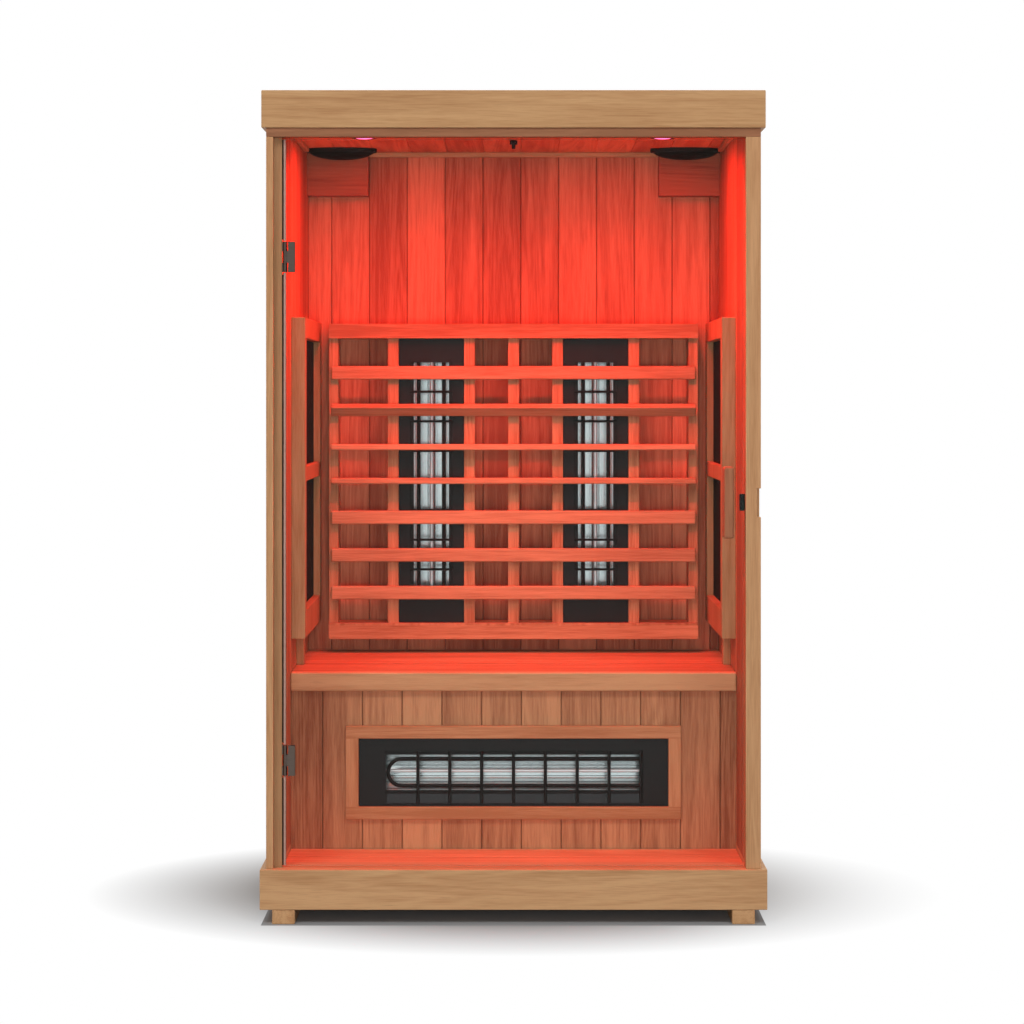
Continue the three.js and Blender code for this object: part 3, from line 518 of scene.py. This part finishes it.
# Heaters: trays folded from black lacquered sheet, each with a window over a bright trough and a glazed
# rod. A hairpin of thick black rod and thin cross wires, welded together, guards each window, and a
# folded lip stiffens its long edges.
LACQUER_GLOSS = 0.2
PEEL_SCALE = 700.0
PEEL_BUMP = (0.03, 0.0002)
DUST_SCALE = 9.0
DUST_RANGE = (0.75, 1.25)
DUST_ROUGH = 0.2
RIB_PITCH = 0.0125
RIB_SHARE = 0.06
RIB_SHADE_TONE = linear(60, 62, 62)
METAL_SHARE = 0.88
HAZE_SCALE = 25.0
HAZE_ROUGH = 0.08
SHEET_ROUGH = 0.11
GLAZE_SHARE = 0.6
BAKE_SCALE = 60.0
BAKE_ROUGH = 0.1
GLAZE_ROUGH = 0.16
GUARD_HALF = 0.034
GUARD_ROD = 0.0052
GUARD_SUNK = 0.002
GUARD_WIRE = 0.0034
WIRE_PROUD = 0.6
WIRE_FOOT = 0.008
GUARD_PITCH = 0.08
GUARD_BEND_STEPS = 14
ROD_RADIUS = 0.0046
ROD_SIDES = 32
CAP_LENGTH = 0.02
CAP_EASE = 0.002
CAP_END = 0.8
CAP_NECK = 0.9
LIP_HEIGHT = 0.009
LIP_PROUD = 0.003
LIP_SUNK = 0.0004
LIP_PAST = 0.004
LIP_EASE = 0.0008
WINDOW_INSET = 0.01
TRAY_EASE = 0.0008
TROUGH_EASE = 0.0002
STRIP_ROUNDING = 0.001
CRISP_ANGLE = 35


def lacquer_finish(name, colour, rough):
    """Sprayed lacquer with a fine orange peel and a trace of dust."""
    signal, inputs, material = new_finish(name)
    place = signal.place()
    peel = signal.noise(place, PEEL_SCALE, 2.0)
    dust = signal.noise(place, DUST_SCALE, 5.0)
    low, high = [tuple(c * share for c in colour) for share in DUST_RANGE]
    feed(inputs, Base_Color=dust.between(low, high), Roughness=dust * DUST_ROUGH + (rough - DUST_ROUGH / 2),
         Normal=signal.bump(peel, *PEEL_BUMP), Specular_IOR_Level=LACQUER_GLOSS)
    return material


def reflector_finish(name, across, middle, ribs):
    """Satin bright sheet with fine pressed ribs, drawn as dark lines of painted shade; across is the axis
    that the ribs step along.
    """
    signal, inputs, material = new_finish(name)
    place = signal.place()
    haze = signal.noise(place, HAZE_SCALE, 4.0)
    step = (signal.axes(place)[across] - middle) / RIB_PITCH
    # Painted shade: the ribs are dark lines in the colour that stand for the shade in their creases.
    rib_shade = ((step - step.floor() - 0.5).size() < RIB_SHARE) * ribs
    sheet = haze.between(linear(232, 243, 244), linear(248, 255, 255))
    feed(inputs, Base_Color=rib_shade.between(sheet, RIB_SHADE_TONE), Metallic=METAL_SHARE,
         Roughness=haze * HAZE_ROUGH + SHEET_ROUGH)
    return material


def glaze_finish(name):
    """Pearl grey glaze, baked on ceramic."""
    signal, inputs, material = new_finish(name)
    bake = signal.noise(signal.place(), BAKE_SCALE, 4.0)
    feed(inputs, Base_Color=bake.between(linear(226, 240, 242), linear(244, 252, 252)), Metallic=GLAZE_SHARE,
         Roughness=bake * BAKE_ROUGH + GLAZE_ROUGH)
    return material


def finish_piece(piece, material, body="cabin"):
    piece.data.materials.append(material)
    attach(piece, body)


def rods(name, paths, radius):
    """Round rods along lists of points, as one piece."""
    data = bpy.data.curves.new(name, "CURVE")
    data.dimensions = "3D"
    data.bevel_depth = radius
    data.bevel_resolution = 3
    data.use_fill_caps = True
    for points in paths:
        spline = data.splines.new("POLY")
        spline.points.add(len(points) - 1)
        for point, place in zip(spline.points, points):
            point.co = (*place, 1)
    piece = bpy.data.objects.new(name, data)
    scene.collection.objects.link(piece)
    return piece


def turned_piece(name, profile, centre, axis, segments=48, squeeze=1.0):
    """A round or oval piece from (radius, height) points about an axis through its centre."""
    points, faces = [], []
    for radius, height in profile:
        for step in range(segments):
            swing = 2 * math.pi * step / segments
            around = [radius * math.cos(swing), radius * math.sin(swing) * squeeze]
            place = around[:axis] + [height] + around[axis:]
            points.append([c + p for c, p in zip(centre, place)])
    for ring in range(len(profile) - 1):
        for step in range(segments):
            a = ring * segments + step
            b = ring * segments + (step + 1) % segments
            faces.append((a, b, b + segments, a + segments))
    faces.append(tuple(range(segments)))
    faces.append(tuple(range((len(profile) - 1) * segments, len(profile) * segments)))
    piece = mesh_piece(name, points, faces, smooth=True)
    split = piece.modifiers.new("crisp", "EDGE_SPLIT")
    split.split_angle = math.radians(CRISP_ANGLE)
    return piece


def batten(name, low, high, ease=STRIP_ROUNDING):
    """A small planed strip or plate between two corners, its arrises eased."""
    points = [(x, y, z) for x in (low[0], high[0]) for y in (low[1], high[1]) for z in (low[2], high[2])]
    faces = [(0, 1, 3, 2), (4, 6, 7, 5), (0, 4, 5, 1), (2, 3, 7, 6), (0, 2, 6, 4), (1, 5, 7, 3)]
    piece = mesh_piece(name, points, faces)
    bevel = piece.modifiers.new("ease", "BEVEL")
    bevel.width = ease
    bevel.segments = 3
    return piece


def front_place(axis, along, across, depth):
    """A point of a heater's front, from a place along its axis, one across it and a depth."""
    return (along, depth, across) if axis == X else (across, depth, along)


black_lacquer = lacquer_finish("black_lacquer", linear(29, 27, 27), 0.42)
wire_lacquer = lacquer_finish("wire_lacquer", linear(20, 17, 17), 0.4)
rod_ceramic = glaze_finish("rod_ceramic")
for heater, axis, ribs, thicker in (("kick_heater", X, 0.75, 1.25), ("back_heater_left", Z, 0.15, 1.0),
                                    ("back_heater_right", Z, 0.15, 1.0)):
    other = Z if axis == X else X
    guard_low, guard_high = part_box(f"{heater}_guard")
    tray_low, tray_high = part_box(f"{heater}_housing")
    tube_low, tube_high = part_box(f"{heater}_tube")
    face = tray_low[1]
    start, end = guard_low[axis], guard_high[axis]
    side = middle_of(f"{heater}_guard")[other]
    trough_middle = middle_of(f"{heater}_reflector")[other]
    dress(f"{heater}_housing", black_lacquer, TRAY_EASE)
    trough_metal = reflector_finish(f"{heater}_bright", other, trough_middle, ribs)
    dress(f"{heater}_reflector", trough_metal, TROUGH_EASE)

    bend = start + GUARD_HALF + GUARD_ROD
    arc = []
    for step in range(GUARD_BEND_STEPS + 1):
        swing = math.pi / 2 + math.pi * step / GUARD_BEND_STEPS
        arc.append((bend + GUARD_HALF * math.cos(swing), side + GUARD_HALF * math.sin(swing)))
    hairpin = [(end, side + GUARD_HALF), *arc, (end, side - GUARD_HALF)]
    hairpin_points = [front_place(axis, a, c, face + GUARD_SUNK) for a, c in hairpin]
    loop = rods(f"{heater}_guard_loop", [hairpin_points], GUARD_ROD)
    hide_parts(f"{heater}_guard")
    finish_piece(loop, wire_lacquer)

    middle = middle_of(f"{heater}_guard")[axis] if axis == X else middle_of(f"{heater}_housing")[axis]
    count = int((end - middle) / GUARD_PITCH)
    places = [middle + GUARD_PITCH * i for i in range(-count, count + 1)]
    wire_ends = (tray_low[2] + WIRE_FOOT if axis == X else guard_low[other], guard_high[other])
    wire_paths = [[front_place(axis, a, c, face - GUARD_WIRE * WIRE_PROUD) for c in wire_ends]
                  for a in places if a > bend - GUARD_HALF / 2]
    wires = rods(f"{heater}_guard_wires", wire_paths, GUARD_WIRE * thicker)
    finish_piece(wires, wire_lacquer)

    reach = (tube_high[axis] - tube_low[axis]) / 2
    cap = (tube_high[1] - tube_low[1]) / 2
    half_rod = [(cap * CAP_END, reach), (cap, reach - CAP_EASE), (cap, reach - CAP_LENGTH + CAP_EASE),
                (cap * CAP_NECK, reach - CAP_LENGTH), (ROD_RADIUS, reach - CAP_LENGTH)]
    profile = [(radius, -along) for radius, along in half_rod] + half_rod[::-1]
    rod = turned_piece(f"{heater}_rod", profile, middle_of(f"{heater}_tube"), axis, ROD_SIDES)
    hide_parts(f"{heater}_tube")
    finish_piece(rod, rod_ceramic)

    window_half = (guard_high[other] - guard_low[other]) / 2 - WINDOW_INSET
    for edge, sign in (("high", 1), ("low", -1)):
        inner = side + sign * window_half
        first, second = sorted((inner, inner + sign * LIP_HEIGHT))
        lip_start = front_place(axis, start - LIP_PAST, first, face - LIP_PROUD + LIP_SUNK)
        lip_end = front_place(axis, end + LIP_PAST, second, face + LIP_SUNK)
        lip = batten(f"{heater}_window_lip_{edge}", lip_start, lip_end, LIP_EASE)
        finish_piece(lip, wire_lacquer)

# Plate: a bare strip of gloss black sheet under the window of the bench heater, riveted to the tray's face
# behind the guard wires.
PLATE_HALF = 0.318
PLATE_FROM = 0.008
PLATE_TO = 0.034
PLATE_PROUD = 0.0012
PLATE_EASE = 0.0006
gloss_lacquer = lacquer_finish("gloss_lacquer", linear(50, 57, 59), 0.3)
kick_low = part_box("kick_heater_housing")[0]
plate = batten("kick_heater_plate", (-PLATE_HALF, kick_low[1] - PLATE_PROUD, kick_low[2] + PLATE_FROM),
               (PLATE_HALF, kick_low[1], kick_low[2] + PLATE_TO), PLATE_EASE)
finish_piece(plate, gloss_lacquer)

# Side panels: carbon heating cloth stretched over a board, a fine black weave behind the cedar frames. The
# frames clamp its edges to the side walls.
WEAVE_SCALE = 260.0
CLOTH_BUMP = (0.4, 0.0005)
CLOTH_ROUGH = 0.75
CLOTH_GLOSS = 0.1
carbon, carbon_inputs, carbon_cloth = new_finish("carbon_cloth")
weave = carbon.node("ShaderNodeTexWave", {"bands_direction": "DIAGONAL"},
                    {"Vector": carbon.place(), "Scale": WEAVE_SCALE})
feed(carbon_inputs, Base_Color=weave.between(linear(14, 10, 10), linear(30, 24, 24)), Roughness=CLOTH_ROUGH,
     Normal=carbon.bump(weave, *CLOTH_BUMP), Specular_IOR_Level=CLOTH_GLOSS)
for side in ("left", "right"):
    dress(f"{side}_side_heater_panel", carbon_cloth, TRAY_EASE)

# Ceiling lamps: a black pressed bezel holds a frosted lens that glows pink. Both are turned pieces, and
# spring clips hold them up in the ceiling boards.
LENS_GLOW = 2.2
LENS_ROUGH = 0.3
FROST_SCALE = 200.0
LENS_TIP = (0.002, 0.009)
BEZEL_STEPS = ((0.0, 0.0), (0.0, 0.003), (0.004, 0.006), (0.008, 0.006), (0.009, 0.002))
LENS_STEPS = ((0.009, 0.002), (0.012, 0.005), (0.02, 0.007))


def hung(steps, radius, top):
    """A profile of (radius, height) points from steps of (inset, drop), for a piece under a ceiling."""
    return [(radius - inset, top - drop) for inset, drop in steps]


lens, lens_inputs, lamp_lens = new_finish("lamp_lens")
frost = lens.noise(lens.place(), FROST_SCALE)
feed(lens_inputs, Base_Color=linear(255, 150, 200), Roughness=LENS_ROUGH, Emission_Strength=LENS_GLOW,
     Emission_Color=frost.between(linear(255, 70, 150), linear(255, 130, 190)))
for side in ("left", "right"):
    lamp_low, lamp_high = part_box(f"ceiling_lamp_{side}")
    lamp_x, lamp_y = middle_of(f"ceiling_lamp_{side}")[:2]
    radius = (lamp_high[0] - lamp_low[0]) / 2
    top = lamp_high[2]
    bezel = turned_piece(f"lamp_bezel_{side}", hung(BEZEL_STEPS, radius, top), (lamp_x, lamp_y, 0), Z)
    finish_piece(bezel, black_lacquer)
    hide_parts(f"ceiling_lamp_{side}")
    lens_profile = hung(LENS_STEPS, radius, top) + [(LENS_TIP[0], top - LENS_TIP[1])]
    glow_lens = turned_piece(f"lamp_lens_{side}", lens_profile, (lamp_x, lamp_y, 0), Z)
    finish_piece(glow_lens, lamp_lens)

# Speakers: an oval domed grille of perforated black sheet in a plain moulded ring. Each is screwed up
# into the ceiling boards in front of its cedar corner box.
HOLE_SCALE = 260.0
HOLE_RADIUS = 0.26
HOLE_EDGE = 12.0
HOLE_BUMP = (0.6, 0.001)
HOLE_ROUGH = 0.3
GRILLE_ROUGH = 0.5
GRILLE_GLOSS = 0.05
RING_STEPS = ((0.0, 0.0), (0.0, 0.008), (0.002, 0.0105), (0.008, 0.0105), (0.01, 0.006))
SPEAKER_SIDES = 64
DOME_STEPS = 10
DOME_INSET = 0.009
DOME_DROP = 0.007
DOME_TIP = 0.001
grille, grille_inputs, speaker_grille = new_finish("speaker_grille")
cells = grille.node("ShaderNodeTexVoronoi", {"voronoi_dimensions": "2D"},
                    {"Vector": grille.place(), "Scale": HOLE_SCALE, "Randomness": 0.0})
sheet = ((cells - HOLE_RADIUS) * HOLE_EDGE).clamp()
hole = 1 - sheet
feed(grille_inputs, Base_Color=hole.between(linear(22, 12, 11), linear(6, 4, 4)),
     Roughness=hole * HOLE_ROUGH + GRILLE_ROUGH, Normal=grille.bump(sheet, *HOLE_BUMP),
     Specular_IOR_Level=GRILLE_GLOSS)
ring_black = lacquer_finish("ring_black", linear(20, 13, 12), 0.6)
for side in ("left", "right"):
    speaker_low, speaker_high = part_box(f"speaker_{side}")
    speaker_x, speaker_y = middle_of(f"speaker_{side}")[:2]
    radius = (speaker_high[0] - speaker_low[0]) / 2
    squeeze = (speaker_high[1] - speaker_low[1]) / (speaker_high[0] - speaker_low[0])
    top = speaker_high[2]
    ring = turned_piece(f"speaker_ring_{side}", hung(RING_STEPS, radius, top), (speaker_x, speaker_y, 0), Z,
                        SPEAKER_SIDES, squeeze)
    finish_piece(ring, ring_black)
    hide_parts(f"speaker_{side}")
    rise = top - DOME_DROP - speaker_low[2]
    dome = []
    for step in range(DOME_STEPS + 1):
        swing = math.pi / 2 * step / DOME_STEPS
        ring_radius = (radius - DOME_INSET) * math.cos(swing) + DOME_TIP
        dome.append((ring_radius, top - DOME_DROP - rise * math.sin(swing)))
    cover = turned_piece(f"speaker_dome_{side}", dome, (speaker_x, speaker_y, 0), Z, SPEAKER_SIDES, squeeze)
    finish_piece(cover, speaker_grille)

# Control box and sensor: black lacquered sheet metal. The box's folded lid is held by four domed screws and
# has louvres that let the heat out, and the sensor hangs in a moulded holder under the ceiling.
BOX_EASE = 0.0015
LID_EDGE = 0.006
LID_RISE = 0.0016
LID_EASE = 0.0007
SCREW_RADIUS = 0.0042
SCREW_STEPS = ((1.0, 0.0), (1.0, 0.0006), (0.75, 0.0016), (0.3, 0.0021))
SCREW_INSET = 0.014
SCREW_SIDES = 20
LOUVRE_COUNT = 9
LOUVRE_PITCH = 0.011
LOUVRE_MIDDLE = 0.07
LOUVRE_HALF = (0.0028, 0.04)
LOUVRE_RISE = 0.0022
dress("temperature_sensor", black_lacquer, TRAY_EASE)
dress("control_box", black_lacquer, BOX_EASE)
box_low, box_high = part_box("control_box")
lid_top = box_high[2] + LID_RISE
lid = batten("control_box_lid", (box_low[0] + LID_EDGE, box_low[1] + LID_EDGE, box_high[2]),
             (box_high[0] - LID_EDGE, box_high[1] - LID_EDGE, lid_top), LID_EASE)
finish_piece(lid, gloss_lacquer)
screw_profile = [(SCREW_RADIUS * share, lid_top + rise) for share, rise in SCREW_STEPS]
screw_places = [(x, y) for x in (box_low[0] + SCREW_INSET, box_high[0] - SCREW_INSET)
                for y in (box_low[1] + SCREW_INSET, box_high[1] - SCREW_INSET)]
for number, (x, y) in enumerate(screw_places, 1):
    screw = turned_piece(f"lid_screw_{number}", screw_profile, (x, y, 0), Z, SCREW_SIDES)
    finish_piece(screw, wire_lacquer)
louvre_y = middle_of("control_box")[1]
for number in range(LOUVRE_COUNT):
    x = LOUVRE_PITCH * (number - (LOUVRE_COUNT - 1) / 2) + LOUVRE_MIDDLE
    louvre = batten(f"lid_louvre_{number + 1}", (x - LOUVRE_HALF[0], louvre_y - LOUVRE_HALF[1], lid_top),
                    (x + LOUVRE_HALF[0], louvre_y + LOUVRE_HALF[1], lid_top + LOUVRE_RISE))
    finish_piece(louvre, black_lacquer)

# Cover strips: small square cedar battens that hide the joint where the ceiling meets the back and side
# walls. They are planed, eased and pinned, and stop at the speakers.
STRIP = 0.013
STRIP_EASE = 0.003
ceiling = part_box("ceiling_panel")[0][2]
back_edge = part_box("speaker_box_left")[1][0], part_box("speaker_box_right")[0][0]
strip_back = batten("cover_strip_back", (back_edge[0], back_face - STRIP, ceiling - STRIP),
                    (back_edge[1], back_face, ceiling), STRIP_EASE)
finish_piece(strip_back, rail_cedar)
wall_x = -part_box("back_wall_lining")[0][0]
strip_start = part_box("left_wall_lining")[0][1]
strip_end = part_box("speaker_left")[0][1]
for side, sign in (("left", -1), ("right", 1)):
    first, second = sorted((sign * wall_x, sign * (wall_x - STRIP)))
    strip = batten(f"cover_strip_{side}", (first, strip_start, ceiling - STRIP), (second, strip_end, ceiling),
                   STRIP_EASE)
    finish_piece(strip, runner_cedar)

# Door: one sheet of clear toughened glass with polished edges. Two dark bronzed clamp hinges carry it, and
# cedar pulls are bolted through it on both faces.
GLASS_ALPHA = 0.035
EDGE_ALPHA = 0.6
EDGE_FACING = 0.5
SMEAR_SCALE = 6.0
SMEAR_ROUGH = 0.05
GLASS_ROUGH = 0.01
BRUSH_ROUGH = 0.25
BRONZE_ROUGH = 0.22
BRUSH_STRETCH = (40.0, 40.0, 2200.0)
GLASS_EASE = 0.0008
BRACKET_EASE = 0.0006
PULL_EASE = 0.005
CATCH_EASE = 0.001
pane, pane_inputs, door_glass = new_finish("door_glass")
smear = pane.noise(pane.place(), SMEAR_SCALE)
facing = pane.axes(pane.node("ShaderNodeTexCoord", out="Normal"))[Y].size()
cut_edge = facing < EDGE_FACING
feed(pane_inputs, Base_Color=cut_edge.between(linear(60, 84, 76), linear(112, 168, 146)),
     Roughness=smear * SMEAR_ROUGH + GLASS_ROUGH, Alpha=cut_edge * EDGE_ALPHA + GLASS_ALPHA)
bronze, bronze_inputs, hinge_bronze = new_finish("hinge_bronze")
brush_place = bronze.node("ShaderNodeVectorMath", {"operation": "MULTIPLY"},
                          {0: bronze.place(), 1: BRUSH_STRETCH})
brushing = bronze.noise(brush_place, 1.0, 3.0)
feed(bronze_inputs, Base_Color=brushing.between(linear(70, 60, 54), linear(112, 100, 92)), Metallic=1.0,
     Roughness=brushing * BRUSH_ROUGH + BRONZE_ROUGH)
pull_cedar = cedar_finish("pull_cedar", linear(172, 112, 80), linear(138, 84, 58), Z)
dress("door_glass", door_glass, GLASS_EASE)
for hinge in ("upper_hinge", "lower_hinge"):
    dress(f"{hinge}_bracket", hinge_bronze, BRACKET_EASE)
    dress(f"{hinge}_clamp", hinge_bronze, GLASS_EASE)
for handle in ("door_handle_outer", "door_handle_inner"):
    dress(handle, pull_cedar, PULL_EASE)
dress("door_catch", black_lacquer, CATCH_EASE)

# Door seal: a pale clear strip, extruded and pushed on the hinge edge of the glass. It is cut away at each
# hinge.
SEAL_WIDTH = 0.0052
SEAL_INSET = 0.0005
HINGE_GAP = 0.002
CLOUD_SCALE = 90.0
SEAL_ROUGH = 0.35
seal, seal_inputs, clear_seal = new_finish("clear_seal")
cloud = seal.noise(seal.place(), CLOUD_SCALE)
seal_tone = cloud.between(linear(158, 122, 108), linear(184, 148, 134))
feed(seal_inputs, Base_Color=seal_tone, Roughness=SEAL_ROUGH)
glass_low, glass_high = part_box("door_glass")


def hinge_cuts(gap):
    """The lower and upper ends of three strips along the glass that leave a gap round each hinge."""
    levels = [glass_low[2]]
    for hinge in ("lower_hinge", "upper_hinge"):
        hinge_low, hinge_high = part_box(f"{hinge}_clamp")
        levels += [hinge_low[2] - gap, hinge_high[2] + gap]
    levels.append(glass_high[2])
    return zip(levels[::2], levels[1::2])


for number, (low_z, high_z) in enumerate(hinge_cuts(HINGE_GAP), 1):
    strip = batten(f"door_seal_{number}", (glass_low[0] - SEAL_WIDTH, glass_low[1] + SEAL_INSET, low_z),
                   (glass_low[0], glass_high[1] - SEAL_INSET, high_z))
    finish_piece(strip, clear_seal, "door")

# Post strip: a black strip along the edge of the left post's rabbet, where the door's edge meets it. It is
# painted shade for the shadowed gap between post and door, in lengths that leave the hinges free.
BEAD = 0.0034
BEAD_DEPTH = (0.004, 0.006)
BEAD_GAP = 0.006
# Painted shade: a black strip that stands for the shadow in the gap between post and door.
gap_shade_finish = lacquer_finish("gap_shade_black", linear(40, 30, 28), 0.7)
post_edge = -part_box("door_catch")[1][0]
for number, (low_z, high_z) in enumerate(hinge_cuts(BEAD_GAP), 1):
    bead = batten(f"post_gasket_{number}", (post_edge, glass_low[1] + BEAD_DEPTH[0], low_z),
                  (post_edge + BEAD, glass_high[1] + BEAD_DEPTH[1], high_z))
    finish_piece(bead, gap_shade_finish)

# Colour light: the red glow that the two ceiling lamps throw down into the cabin, with softer light for
# what the walls send back. It leaves the studio floor, the bright troughs and the rods alone. The side
# heater frames have a part of their own, behind their front faces, which stay brown.
RED_LIGHT = (1.0, 0.03, 0.015)
RED_POWER = 2.3
RED_SIZE = 0.05
RED_DROP = 0.004
RED_FILL = 7.5
RED_FRONT = 18
RED_SIDES = 11
RED_WIDTH = 0.9
RED_UNDER = 0.03
LAMP_TILT = 0.01
FILL_TILT = 0.02
off_red = bpy.data.collections.new("off_the_red")
off_front = bpy.data.collections.new("off_the_front_red")
on_sides = bpy.data.collections.new("on_the_side_frames")
left_out = [floor]
for heater in ("kick_heater", "back_heater_left", "back_heater_right"):
    left_out += [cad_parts[f"{heater}_reflector"], bpy.data.objects[f"{heater}_rod"]]
side_frames = [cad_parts[f"{side}_side_heater_frame"] for side in ("left", "right")]
for group, pieces, state in ((off_red, left_out, "EXCLUDE"), (off_front, left_out + side_frames, "EXCLUDE"),
                             (on_sides, side_frames, "INCLUDE")):
    for piece in pieces:
        group.objects.link(piece)
    for member in group.collection_objects:
        member.light_linking.link_state = state
for side in ("left", "right"):
    lamp_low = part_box(f"ceiling_lamp_{side}")[0]
    lamp_x, lamp_y = middle_of(f"ceiling_lamp_{side}")[:2]
    red = soft_lamp(f"red_light_{side}", (lamp_x, lamp_y, lamp_low[2] - RED_DROP),
                    (lamp_x, lamp_y + LAMP_TILT, 0.0), RED_SIZE, RED_SIZE, RED_POWER, RED_LIGHT)
    red.light_linking.receiver_collection = off_red
for name, at_y, depth, power, cone, group in (("red_fill", -0.12, 0.6, RED_FILL, 180, off_red),
                                              ("red_front", -0.27, 0.05, RED_FRONT, 158, off_front),
                                              ("red_sides", 0.0, 0.05, RED_SIDES, 158, on_sides)):
    red = soft_lamp(name, (0, at_y, ceiling - RED_UNDER), (0, at_y + FILL_TILT, 0.0), RED_WIDTH, depth, power,
                    RED_LIGHT)
    red.data.spread = math.radians(cone)
    red.light_linking.receiver_collection = group
